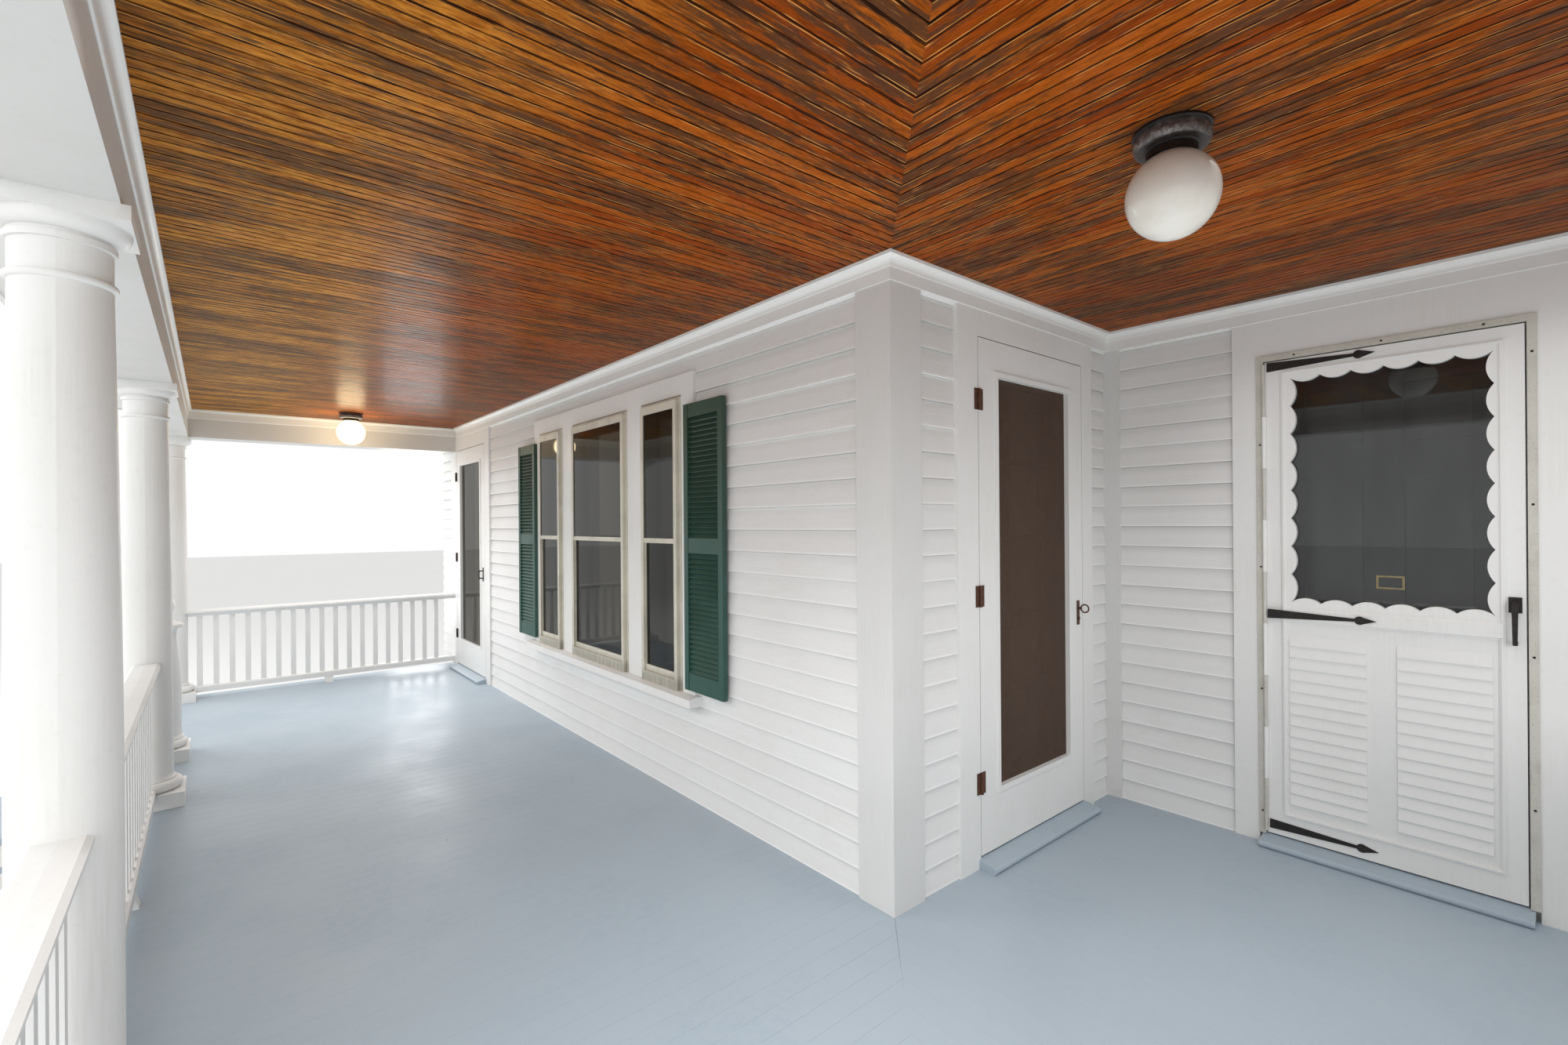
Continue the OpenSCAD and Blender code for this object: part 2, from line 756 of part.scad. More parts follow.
// Boxed beam over the columns in one U, its top cut to the roof's slopes
module porch_beam() {
  out_w = leg_w + half_beam;
  out_e = front_len + half_beam;
  color("white") difference() {
    translate([0, 0, soffit_z]) linear_extrude(height = roof_under(-half_beam) - soffit_z)
      polygon([
        [-out_e, 0], [-out_e, -out_w], [out_w, -out_w], [out_w, wall_b_len],
        [beam_in_x, wall_b_len], [beam_in_x, -beam_in_x], [-end_in_x, -beam_in_x], [-end_in_x, 0]
      ]);
    above_roof();
  }
}

module ceiling_front() {
  color("saddlebrown") translate([0, 0, ceil_z]) linear_extrude(height = ceiling_t)
    polygon([[-end_in_x, 0], [-end_in_x, -beam_in_x], [beam_in_x, -beam_in_x], [0, 0]]);
}

module ceiling_side() {
  color("saddlebrown") translate([0, 0, ceil_z]) linear_extrude(height = ceiling_t)
    polygon([[beam_in_x, -beam_in_x], [beam_in_x, wall_b_len], [0, wall_b_len], [0, 0]]);
}

// Frieze board with a cove crown, as a (distance from the wall, z) profile
module wall_crown_section() {
  out = trim_t + crown_out;
  r = min(crown_out, frieze_h - 30) - 6;
  polygon(concat(
    [[0, frieze_z], [trim_t + 4, frieze_z], [trim_t + 4, ceil_z - r - 18]],
    arc(trim_t + 6 + r, ceil_z - 12 - r, r, 180, 90, 6),
    [[out, ceil_z - 12], [out, ceil_z], [0, ceil_z]]
  ));
}

module beam_crown_section() {
  r = beam_crown_out - 8;
  foot = ceil_z - beam_crown_h;
  polygon(concat(
    [[0, foot], [5, foot], [7, foot + 8], [7, ceil_z - 14 - r]],
    arc(7 + r, ceil_z - 10 - r, r, 180, 90, 6),
    [[beam_crown_out, ceil_z - 10], [beam_crown_out, ceil_z], [0, ceil_z]]
  ));
}

// A crown run kept to the mitred strip of plan between two ceiling corners
module crown_run(strip) {
  intersection() {
    children();
    translate([0, 0, soffit_z]) linear_extrude(height = beam_drop) polygon(strip);
  }
}

module ceiling_crown() {
  q = 150;
  xe = -end_in_x;
  xs = beam_in_x;
  yf = -beam_in_x;
  yc = wall_b_len;
  color("white") {
    crown_run([[xe, 0], [0, 0], [q, -q], [xe + q, -q]])
      translate([xe, 0, 0]) mirror([0, 1, 0]) along_x(q - xe) wall_crown_section();
    crown_run([[0, 0], [0, yc], [q, yc - q], [q, -q]])
      translate([0, -q, 0]) along_y(yc + q) wall_crown_section();
    crown_run([[0, yc], [xs, yc], [xs - q, yc - q], [q, yc - q]])
      translate([0, yc, 0]) mirror([0, 1, 0]) along_x(xs) wall_crown_section();
    crown_run([[xs, yc], [xs, yf], [xs - q, yf + q], [xs - q, yc - q]])
      translate([xs, yf, 0]) mirror([1, 0, 0]) along_y(yc - yf) beam_crown_section();
    crown_run([[xs, yf], [xe, yf], [xe + q, yf + q], [xs - q, yf + q]])
      translate([xe, yf, 0]) along_x(xs - xe) beam_crown_section();
    crown_run([[xe, yf], [xe, 0], [xe + q, -q], [xe + q, yf + q]])
      translate([xe, yf, 0]) along_y(-yf) beam_crown_section();
  }
}

// Eave box outside the beam: bed moulding, soffit board and fascia
module cornice_section() {
  board = 18;
  fascia = 20;
  low = roof_under(eave_d) - 38;
  top = roof_under(eave_d);
  in_d = eave_d - fascia;
  polygon([
    [half_beam, low], [in_d, low], [in_d, low - 12], [eave_d, low - 12], [eave_d, top],
    [in_d, roof_under(in_d)], [in_d, low + board], [half_beam, low + board]
  ]);
  polygon(concat(
    [[half_beam, low - 60], [half_beam + 8, low - 60]],
    arc(half_beam + 48, low - 48, 36, 180, 90, 6),
    [[half_beam + 48, low + fuse], [half_beam, low + fuse]]
  ));
}

module eave_cornice() {
  lo = roof_under(eave_d) - 120;
  hi = roof_seat + 10;
  color("white") {
    front_run(lo, hi) cornice_section();
    side_run(lo, hi) cornice_section();
    end_run(lo, hi) cornice_section();
  }
}

// Roof slope as a (d, z) profile from the wall to the eave
module roof_section() {
  far = eave_d + 25;
  low = roof_under(far);
  high = roof_under(-leg_w);
  polygon([[-leg_w, high], [far, low], [far, low + roof_t], [-leg_w, high + roof_t]]);
}

module roof_front() {
  color("dimgray") front_run(ceil_z - 200, wall_top) roof_section();
}

module roof_side() {
  color("dimgray") side_run(ceil_z - 200, wall_top) roof_section();
}

module roof_end() {
  color("dimgray") end_run(ceil_z - 200, wall_top) roof_section();
}

// Folded cap over a hip: a flat chevron that follows both slopes, from the eave corner up to the wall
module hip_cap(corner, turn) {
  w = 110;
  t = 8;
  run = leg_w + eave_d + 10;
  slope = atan(roof_pitch / sqrt(2));
  sink = w * roof_pitch / sqrt(2) * cos(slope);
  z0 = roof_under(-leg_w) + roof_t + fit;
  translate([corner[0], corner[1], z0]) rotate([0, 0, turn]) rotate([0, slope, 0])
    along_x(run * sqrt(2) / cos(slope))
      polygon([[-w, -sink], [0, 0], [w, -sink], [w, t - sink], [0, t], [-w, t - sink]]);
}

module hip_caps() {
  color("gray") {
    intersection() {
      hip_cap([0, 0], -45);
      block([0, -leg_w - eave_d - 25, 0], [leg_w + eave_d + 25, 0, wall_top]);
    }
    intersection() {
      hip_cap([-front_len + leg_w, 0], -135);
      block([-front_len - eave_d - 25, -leg_w - eave_d - 25, 0], [-front_len + leg_w, 0, wall_top]);
    }
  }
}

// Plan of the house walls as a band of a given thickness, its outer face a distance out from the walls
module wall_band(out, thick) {
  back = thick - out;
  polygon([
    [-wall_a_len, -out],
    [out, -out],
    [out, wall_b_len - out],
    [wall_c_len, wall_b_len - out],
    [wall_c_len, wall_b_len + back],
    [-back, wall_b_len + back],
    [-back, back],
    [-wall_a_len, back]
  ]);
}

module house_foundation() {
  color("gray") linear_extrude(height = rim_z) wall_band(foundation_out, 240);
}

module house_rim() {
  color("white") translate([0, 0, rim_z]) linear_extrude(height = rim_h) wall_band(0, wall_t);
}

// Plain length of wall in its own frame
module wall_core(x0, x1, z0, z1) {
  block([x0, 0, z0], [x1, wall_t, z1]);
}

module wall_a_left() {
  color("white") {
    wall_core(-wall_a_len, a_left - rough_in, floor_h, wall_top);
    clapboards(-wall_a_len, -front_len - half_beam, floor_h, cornice_foot);
    clapboards(-front_len - half_beam, a_left - casing_a_left_w - leaf_gap, floor_h, soffit_z);
  }
}

module wall_a_head() {
  color("white") wall_core(a_left - rough_in, a_right + rough_in, floor_h + door_a_top + head_gap, wall_top);
}

module wall_a_main() {
  sill_foot = floor_h + window_sill_z - window_sill_t;
  head_z = floor_h + window_head_z;
  horn = window_casing_w + sill_horn;
  color("white") {
    difference() {
      union() {
        wall_core(a_right + rough_in, 0, floor_h, wall_top);
        clapboards(a_right + leaf_gap + casing_a_w, -corner_w + trim_t, floor_h, frieze_z);
      }
      block([window_l - 20, -1, sill_foot], [window_r + 20, wall_t + 1, head_z + 20]);
      block([window_l - window_casing_w, -clap_butt - 2, sill_foot],
        [window_r + window_casing_w, 0, head_z + window_head_h]);
      block([window_l - horn, -clap_butt - 2, sill_foot], [window_r + horn, 0, floor_h + window_sill_z]);
    }
  }
}

module wall_b_near() {
  color("white") on_wall_b() {
    wall_core(wall_t, door_b_y - rough_in, floor_h, wall_top);
    difference() {
      clapboards(corner_w - trim_t, door_b_y - leaf_gap - casing_b_w, floor_h, frieze_z);
      block([0, 0, floor_h - 1], [wall_t, wall_t, wall_top]);
    }
  }
}

module wall_b_head() {
  color("white") on_wall_b()
    wall_core(door_b_y - rough_in, b_right + rough_in, floor_h + door_b_top + head_gap, wall_top);
}

module wall_b_far() {
  color("white") on_wall_b() {
    wall_core(b_right + rough_in, wall_b_len + wall_t, floor_h, wall_top);
    clapboards(b_right + leaf_gap + casing_b_right_w, wall_b_len - trim_t, floor_h, frieze_z);
  }
}

module wall_c_near() {
  color("white") on_wall_c() {
    wall_core(0, door_c_x - rough_c, floor_h, wall_top);
    clapboards(inner_corner_w, door_c_x - z_bar_w - leaf_gap - casing_c_w, floor_h, frieze_z);
  }
}

module wall_c_head() {
  color("white") on_wall_c()
    wall_core(door_c_x - rough_c, c_right + rough_c, floor_h + door_c_top + rough_c, wall_top);
}

module wall_c_far() {
  color("white") on_wall_c() {
    wall_core(c_right + rough_c, wall_c_len, floor_h, wall_top);
    clapboards(c_right + z_bar_w + leaf_gap + casing_c_w, beam_in_x, floor_h, frieze_z);
    clapboards(beam_in_x, leg_w + half_beam, floor_h, soffit_z);
    clapboards(leg_w + half_beam, wall_c_len, floor_h, cornice_foot);
  }
}

module corner_boards() {
  w = corner_w - trim_t;
  color("white") {
    translate([0, 0, floor_h]) linear_extrude(height = frieze_z - floor_h)
      polygon([[-w, 0], [-w, -trim_t], [trim_t, -trim_t], [trim_t, w], [0, w], [0, 0]]);
    on_wall_c() block([0, -trim_t, floor_h], [inner_corner_w, 0, frieze_z]);
  }
}

// Casing, lining and stops of one door, in the wall's own frame
module door_frame(x, w, top, left_w, right_w, edge, lining) {
  z1 = floor_h + top;
  l = x - leaf_gap;
  r = x + w + leaf_gap;
  difference() {
    block([l - edge - left_w, -trim_t, floor_h], [r + edge + right_w, 0, frieze_z]);
    block([l - edge, -trim_t - 1, floor_h - 1], [r + edge, 1, z1 + leaf_gap + edge]);
  }
  difference() {
    block([l - lining, 0, floor_h + sill_h], [r + lining, wall_t, z1 + leaf_gap + lining]);
    block([l, -1, floor_h], [r, wall_t + 1, z1 + leaf_gap]);
  }
  difference() {
    block([l - 1, stop_at, floor_h + sill_h], [r + 1, stop_at + 15, z1 + leaf_gap + 1]);
    block([l + 14, stop_at - 1, floor_h], [r - 14, stop_at + 16, z1 + leaf_gap - 14]);
  }
}

module door_frames() {
  color("white") {
    difference() {
      door_frame(a_left, door_a_w, door_a_top, casing_a_left_w, casing_a_w, 0, lining_t);
      block([-front_len - half_beam, -trim_t - 1, soffit_z], [-end_in_x, 0, ceil_z]);
    }
    on_wall_b() door_frame(door_b_y, door_b_w, door_b_top, casing_b_w, casing_b_right_w, 0, lining_t);
    on_wall_c() door_frame(door_c_x, door_c_w, door_c_top, casing_c_w, casing_c_w, z_bar_w, lining_c);
  }
}

// Sloping threshold with a rounded nose, in the wall's own frame
module door_sill(x, w) {
  l = x - leaf_gap;
  r = x + w + leaf_gap;
  nose = 14;
  front = -trim_t - sill_out + nose;
  block([l, -trim_t, floor_h], [r, wall_t, floor_h + sill_h]);
  translate([l - 12, 0, 0]) along_x(r - l + 24)
    polygon([
      [-trim_t, floor_h], [-trim_t, floor_h + sill_h - 2], [front, floor_h + 2 * nose], [front, floor_h]
    ]);
  translate([l - 12, front, floor_h + nose]) rotate([0, 90, 0]) cylinder(h = r - l + 24, r = nose);
}

module door_sills() {
  color("lightslategray") {
    door_sill(a_left, door_a_w);
    on_wall_b() door_sill(door_b_y, door_b_w);
    on_wall_c() door_sill(door_c_x, door_c_w);
  }
}

// Axis of the storm door's long hinge, from the leaf's lower hinge corner
module on_long_hinge() {
  translate([-axis_x, -frame_proud - axis_y, 10]) children();
}

// Metal frame that carries the storm door, between its casings
module storm_frame() {
  l = door_c_x - leaf_gap;
  r = c_right + leaf_gap;
  z1 = floor_h + door_c_top + leaf_gap;
  color("gainsboro") {
    on_wall_c() difference() {
      block([l - z_bar_w, -trim_t - 2 * frame_proud, floor_h + sill_h], [r + z_bar_w, 0, z1 + z_bar_w]);
      block([l, -trim_t - 2 * frame_proud - 1, floor_h], [r, 1, z1]);
    }
    at_door_c() on_long_hinge() {
      cylinder(h = LONG_HINGE * long_pitch, r = pin_r);
      for (i = [0:2:LONG_HINGE - 1]) {
        translate([0, 0, i * long_pitch]) cylinder(h = long_pitch, r = knuckle_r);
        block([-knuckle_r - 3, axis_y - 3, i * long_pitch], [0, axis_y, (i + 1) * long_pitch]);
      }
    }
  }
}

// Glazed door leaf: x and z from its lower hinge corner, outer face at y = 0
module glazed_leaf(w, h) {
  bead = 12;
  difference() {
    union() {
      block([0, 0, 0], [w, leaf_t, h]);
      block([stile_w - 22, -6, bottom_rail_h - 22], [w - stile_w + 22, fuse, h - top_rail_h + 22]);
    }
    block([stile_w, -10, bottom_rail_h], [w - stile_w, leaf_t + 1, h - top_rail_h]);
    block([stile_w - bead, leaf_t / 2, bottom_rail_h - bead],
      [w - stile_w + bead, leaf_t + 1, h - top_rail_h + bead]);
  }
}

// Sheet in the rebate of a glazed leaf
module leaf_sheet(w, h, t) {
  bead = 12;
  block([stile_w - bead, leaf_t / 2, bottom_rail_h - bead],
    [w - stile_w + bead, leaf_t / 2 + t, h - top_rail_h + bead]);
}

module at_door_a() {
  translate([a_left, -trim_t, leaf_z]) children();
}

module at_door_b() {
  on_wall_b() translate([door_b_y, -trim_t, leaf_z]) children();
}

// The storm door's outer face stands a little proud of the casings
module at_door_c() {
  on_wall_c() translate([door_c_x, -trim_t - frame_proud, leaf_z]) children();
}

// Half of a hinge that goes with the leaf, its axis on z and the leaf's face at y = axis_y
module leaf_hinge() {
  difference() {
    union() {
      translate([0, 0, -14]) cylinder(h = 28, r = knuckle_r);
      block([0, axis_y - 3, -14], [knuckle_r + 3, axis_y, 14]);
      block([knuckle_r + 1, axis_y - 3, -44], [knuckle_r + 24, axis_y, 44]);
    }
    translate([0, 0, -20]) cylinder(h = 40, r = pin_r + fit);
  }
}

// Half that stays, with the pin
module frame_hinge() {
  cylinder(h = 90, r = pin_r, center = true);
  block([-knuckle_r - 22, axis_y - 3, -44], [-knuckle_r - 1, axis_y, 44]);
  for (z = [-44, 14 + fit]) {
    translate([0, 0, z]) cylinder(h = 30 - fit, r = knuckle_r);
    block([-knuckle_r - 2, axis_y - 3, z], [0, axis_y, z + 30 - fit]);
  }
}

// Puts hinge halves at their heights on a leaf's outer face
module on_outer_edge(h) {
  for (k = HINGE_HEIGHTS) translate([-axis_x, -axis_y, k * h]) children();
}

// The same on an inner leaf's room face
module on_inner_edge(h) {
  for (k = HINGE_HEIGHTS) translate([-axis_x, inner_leaf_t + axis_y, k * h]) mirror([0, 1, 0]) children();
}

// Thumb latch plate with its grip, centred on its own middle
module latch_plate() {
  block([-14, -3, -62], [14, 0, 62]);
  block([-5, -34, 28], [5, 0, 38]);
  block([-5, -34, -38], [5, 0, -28]);
  block([-6, -42, -42], [6, -32, 42]);
}

module door_hinges() {
  color("dimgray") {
    at_door_a() on_outer_edge(door_a_h) frame_hinge();
    at_door_b() on_outer_edge(door_b_h) frame_hinge();
    on_wall_b() at_inner(door_b_y) on_inner_edge(inner_b_h) frame_hinge();
    on_wall_c() at_inner(door_c_x) on_inner_edge(inner_c_h) frame_hinge();
  }
}

module door_a_hardware() {
  color("black") at_door_a() {
    on_outer_edge(door_a_h) leaf_hinge();
    translate([door_a_w - 50, 0, 930]) latch_plate();
  }
}

module door_b_hardware() {
  color("saddlebrown") at_door_b() {
    on_outer_edge(door_b_h) leaf_hinge();
    translate([door_b_w - 46, 0, 930]) ring_latch();
  }
}

// Narrow latch plate with a stem, a ring that stands out from it, and a keyhole boss below
module ring_latch() {
  ring_r = 19;
  stem = 18;
  block([-12, -3, -59], [12, 0, 59]);
  translate([0, 0, 22]) rotate([90, 0, 0]) cylinder(h = stem, r = 6);
  translate([0, -stem - ring_r + 2, 22]) rotate([0, 90, 0])
    rotate_extrude() translate([ring_r, 0]) circle(r = 3.5);
  translate([0, 0, -28]) rotate([90, 0, 0]) cylinder(h = 8, r = 8);
}

module door_a() {
  color("white") at_door_a() glazed_leaf(door_a_w, door_a_h);
}

module door_a_glass() {
  color("lightblue") at_door_a() leaf_sheet(door_a_w, door_a_h, 5);
}

module door_b() {
  color("white") at_door_b() glazed_leaf(door_b_w, door_b_h);
}

module door_b_screen() {
  color("saddlebrown") at_door_b() leaf_sheet(door_b_w, door_b_h, 3);
}

// Outline of the scalloped glass opening: a rectangle with round lobes along its edges
module scallops() {
  across = 6;
  up = 8;
  wx = (c_glass_x1 - c_glass_x0) / across;
  wz = (c_glass_z1 - c_glass_z0) / up;
  lobe = 21;
  rx = (wx * wx / 4 + lobe * lobe) / (2 * lobe);
  rz = (wz * wz / 4 + lobe * lobe) / (2 * lobe);
  difference() {
    translate([c_glass_x0, c_glass_z0]) square([c_glass_x1 - c_glass_x0, c_glass_z1 - c_glass_z0]);
    for (i = [0:across - 1]) {
      translate([c_glass_x0 + (i + 0.5) * wx, c_glass_z0 + lobe - rx]) circle(r = rx);
      translate([c_glass_x0 + (i + 0.5) * wx, c_glass_z1 - lobe + rx]) circle(r = rx);
    }
    for (i = [0:up - 1]) {
      translate([c_glass_x0 + lobe - rz, c_glass_z0 + (i + 0.5) * wz]) circle(r = rz);
      translate([c_glass_x1 - lobe + rz, c_glass_z0 + (i + 0.5) * wz]) circle(r = rz);
    }
  }
}

// Raised louvre-look panel: overlapping slats with rounded lips, from the leaf's face outward
module slat_panel(x0, x1, z0, z1) {
  n = 15;
  pitch = (z1 - z0) / n;
  translate([x0, 0, 0]) along_x(x1 - x0)
    polygon(concat(
      [[fuse, z0]],
      [for (i = [0:n - 1], p = [[-1, 0], [-7, 1], [-8, 5], [-1, pitch]]) [p[0], z0 + i * pitch + p[1]]],
      [[fuse, z1]]
    ));
}

// Stepped moulding that goes round the storm door's face, and the ledge under its glass
module storm_door_moulding() {
  foot = 90;
  step = 5;
  wide = 16;
  in_w = wide - 2 * step;
  x = [c_mould_x0, c_mould_x1];
  in_x = [c_mould_x0 + step, c_mould_x1 - step];
  ring(x, [-step, fuse], [foot, c_mould_z1], wide, wide, wide);
  ring(in_x, [-9, fuse], [foot + step, c_mould_z1 - step], in_w, in_w, in_w);
  translate([in_x[0], 0, ledge_z]) along_x(in_x[1] - in_x[0])
    polygon([
      [fuse, -31], [-5, -31], [-7, -25], [-ledge_out, -22],
      [-ledge_out, 23], [-7, 29], [-3, 32], [fuse, 32]
    ]);
}

module door_c() {
  glass_y = leaf_t / 2;
  mid = door_c_w / 2 - 2;
  half_post = 46;
  color("white") at_door_c() {
    difference() {
      union() {
        block([0, 0, 0], [door_c_w, leaf_t, door_c_h]);
        block([c_mould_x0 + 8, -4, ledge_z], [c_mould_x1 - 8, fuse, c_mould_z1 - 8]);
        storm_door_moulding();
      }
      translate([0, 20, 0]) rotate([90, 0, 0]) linear_extrude(height = 40) scallops();
      block([c_glass_x0 - 10, glass_y, c_glass_z0 - 10], [c_glass_x1 + 10, leaf_t + 1, c_glass_z1 + 10]);
    }
    slat_panel(c_mould_x0 + 26, mid - half_post, 145, 880);
    slat_panel(mid + half_post, c_mould_x1 - 33, 145, 880);
    for (i = [1:2:LONG_HINGE - 2]) on_long_hinge() translate([0, 0, i * long_pitch]) difference() {
      union() {
        translate([0, 0, fit]) cylinder(h = long_pitch - 2 * fit, r = knuckle_r);
        block([0, 0, fit], [knuckle_r + 4, axis_y + frame_proud + 1, long_pitch - fit]);
      }
      translate([0, 0, -1]) cylinder(h = long_pitch + 2, r = pin_r + fit);
      block([-1, axis_y, 0], [axis_x + 0.01, axis_y + frame_proud + 2, long_pitch]);
    }
  }
}

module door_c_glass() {
  color("lightblue") at_door_c()
    block([c_glass_x0 - 10, leaf_t / 2, c_glass_z0 - 10], [c_glass_x1 + 10, leaf_t / 2 + 4, c_glass_z1 + 10]);
}

// Strap hinge with a spear point, from x = 0, centred on z = 0, its back at y = 0
module strap_hinge() {
  rotate([90, 0, 0]) linear_extrude(height = 4) {
    polygon([[9, -20], [310, -6], [310, 6], [9, 20]]);
    translate([322, 0]) circle(r = 17);
    polygon([[322, -17], [374, 0], [322, 17]]);
  }
}

module door_c_hardware() {
  color("black") at_door_c() {
    for (z = [42, door_c_h - 22]) translate([0, 0, z]) strap_hinge();
    translate([0, -ledge_out, ledge_z]) strap_hinge();
    block([9, -ledge_out, ledge_z - 17], [c_mould_x0, 0, ledge_z + 17]);
    translate([door_c_w - 27, 0, 925]) pull_handle();
  }
}

// Pull handle: a plate with a round boss, and a tapered grip that hangs from it
module pull_handle() {
  block([-17, -5, 114], [17, 0, 170]);
  translate([0, 0, 146]) rotate([90, 0, 0]) cylinder(h = 26, r = 11);
  translate([0, 0, 146]) rotate([90, 0, 0]) cylinder(h = 34, r = 7);
  translate([0, -26, 0]) rotate([90, 0, 0]) linear_extrude(height = 9)
    polygon([[-6, 0], [6, 0], [8, 110], [10, 136], [6, 150], [-6, 150], [-10, 136], [-8, 110]]);
  block([-6, -28, 0], [6, 0, 13]);
}

// Inner doors stand at the room side of the wall, in the wall's own frame
module at_inner(x) {
  translate([x, wall_t - inner_leaf_t, leaf_z]) children();
}

// Panes of the inner door behind door B, between two depths
module panes(y0, y1) {
  bar = INNER_B[3];
  w = (door_b_w - 2 * INNER_B[0] + bar) / PANES[0];
  h = (inner_b_h - INNER_B[1] - INNER_B[2] + bar) / PANES[1];
  for (i = [0:PANES[0] - 1])
    for (k = [0:PANES[1] - 1])
      translate([INNER_B[0] + i * w, 0, INNER_B[1] + k * h]) block([0, y0, 0], [w - bar, y1, h - bar]);
}

module inner_door_b() {
  color("sienna") on_wall_b() at_inner(door_b_y) {
    on_inner_edge(inner_b_h) leaf_hinge();
    difference() {
      block([0, 0, 0], [door_b_w, inner_leaf_t, inner_b_h]);
      panes(-1, inner_leaf_t + 1);
    }
  }
}

module inner_glass_b() {
  color("lightblue") on_wall_b() at_inner(door_b_y) panes(19, 23);
}

// Panelled door with raised fields
module inner_door_c() {
  stile = 112;
  gap = 100;
  w = (door_c_w - 2 * stile - gap) / 2;
  rows = [for (r = [[0.11, 0.38], [0.45, 0.76], [0.81, 0.94]]) inner_c_h * r];
  color("darkslategray") on_wall_c() at_inner(door_c_x) {
    on_inner_edge(inner_c_h) leaf_hinge();
    difference() {
      block([0, 0, 0], [door_c_w, inner_leaf_t, inner_c_h]);
      for (x = [stile, stile + w + gap])
        for (r = rows)
          difference() {
            block([x, -1, r[0]], [x + w, 10, r[1]]);
            block([x + 30, -2, r[0] + 30], [x + w - 30, 11, r[1] - 30]);
          }
    }
  }
}

// Triple window: casings, posts, sill and lining, in wall A's frame
module window_frame() {
  z0 = floor_h + window_sill_z;
  z1 = floor_h + window_head_z;
  horn = window_casing_w + sill_horn;
  nose = -trim_t - window_sill_out;
  t = window_sill_t;
  color("white") {
    difference() {
      union() {
        block([window_l - window_casing_w, -trim_t, z0 - fuse],
          [window_r + window_casing_w, 0, z1 + window_head_h]);
        block([window_l - 20, 0, z0 - t], [window_r + 20, wall_t, z1 + 20]);
      }
      for (s = LIGHTS)
        block([s[0] + storm_lap, -trim_t - 1, z0], [s[1] - storm_lap, wall_t + 1, z1 - storm_lap]);
    }
    translate([window_l - horn, 0, z0]) along_x(window_r - window_l + 2 * horn)
      polygon([[0, 0], [storm_y - 4, 0], [nose, -9], [nose, -t], [nose + 12, -t], [nose + 18, 5 - t],
        [nose + 24, -t], [0, -t]]);
  }
}

// Frame round a rectangle, with its own stile, foot and head, between two depths
module ring(x, y, z, stile, foot, head) {
  difference() {
    block([x[0], y[0], z[0]], [x[1], y[1], z[1]]);
    block([x[0] + stile, y[0] - 1, z[0] + foot], [x[1] - stile, y[1] + 1, z[1] - head]);
  }
}

// Storm windows: a flanged frame with two tracks, the upper pane in the outer one
module storm_windows() {
  z0 = floor_h + window_sill_z;
  z1 = floor_h + window_head_z;
  zm = floor_h + meeting_z;
  foot = storm_foot + lower_foot;
  lap = 22;
  color("gainsboro") for (s = LIGHTS) {
    ring(s, [storm_y, -trim_t], [z0, z1], storm_stile, storm_foot, storm_head);
    difference() {
      block([s[0] - lap, -trim_t - 3, z0], [s[1] + lap, -trim_t, z1 + lap]);
      block([s[0] + storm_lap, -trim_t - 4, z0 - 1], [s[1] - storm_lap, -trim_t + 1, z1 - storm_lap]);
    }
    ring([s[0] + storm_lap + 4, s[1] - storm_lap - 4], [-trim_t - 10, -trim_t + 10],
      [z0 + 6, zm + half_meeting], storm_stile - storm_lap, foot - 6, 2 * half_meeting);
    block([s[0] + storm_stile - fuse, storm_y + 2, zm - half_meeting],
      [s[1] - storm_stile + fuse, -trim_t - 6, zm + half_meeting]);
  }
}

module window_glass() {
  zm = floor_h + meeting_z;
  in_x = storm_stile + 4;
  color("lightblue") for (s = LIGHTS) {
    block([s[0] + in_x, lower_pane_y, floor_h + window_sill_z + storm_foot + lower_foot],
      [s[1] - in_x, lower_pane_y + 4, zm - half_meeting]);
    block([s[0] + storm_stile, upper_pane_y, zm + half_meeting],
      [s[1] - storm_stile, upper_pane_y + 4, floor_h + window_head_z - storm_head]);
  }
}

// Wooden sashes behind the storm windows, the lower one set further in
module window_sashes() {
  z0 = floor_h + window_sill_z;
  z1 = floor_h + window_head_z - storm_lap;
  zm = floor_h + meeting_z;
  color("white") for (s = LIGHTS) {
    x = [s[0] + storm_lap, s[1] - storm_lap];
    ring(x, [sash_y, sash_y + 34], [zm - 20, z1], 44, 40, 50);
    ring(x, [sash_y + 34, sash_y + 68], [z0, zm + 20], 44, 74, 40);
  }
}

// Louvred shutter from its lower left corner, its back at y = 0
module shutter() {
  t = 25;
  stile = 38;
  rail = 70;
  mid = 77;
  mid_z = shutter_h * 0.479;
  slat = 34;
  angle = 35;
  slat_gap = 25.5;
  for (x = [0, shutter_w - stile]) block([x, -t, 0], [x + stile, 0, shutter_h]);
  for (z = [[0, rail + 20], [mid_z, mid_z + mid], [shutter_h - rail, shutter_h]])
    block([stile - fuse, -t + 2, z[0]], [shutter_w - stile + fuse, -2, z[1]]);
  for (span = [[rail + 20, mid_z], [mid_z + mid, shutter_h - rail]]) {
    n = round((span[1] - span[0]) / slat_gap);
    pitch = (span[1] - span[0]) / n;
    for (i = [0:n - 1])
      translate([stile - fuse, -t / 2, span[0] + (i + 0.5) * pitch]) rotate([-angle, 0, 0])
        translate([0, -2.5, -slat / 2 + 3]) cube([shutter_w - 2 * stile + 2 * fuse, 5, slat - 6]);
  }
}

module window_shutters() {
  z = floor_h + shutter_z;
  color("darkgreen") {
    translate([window_l - shutter_gap - shutter_w, -trim_t, z]) shutter();
    translate([window_r + shutter_gap, -trim_t, z]) shutter();
  }
}

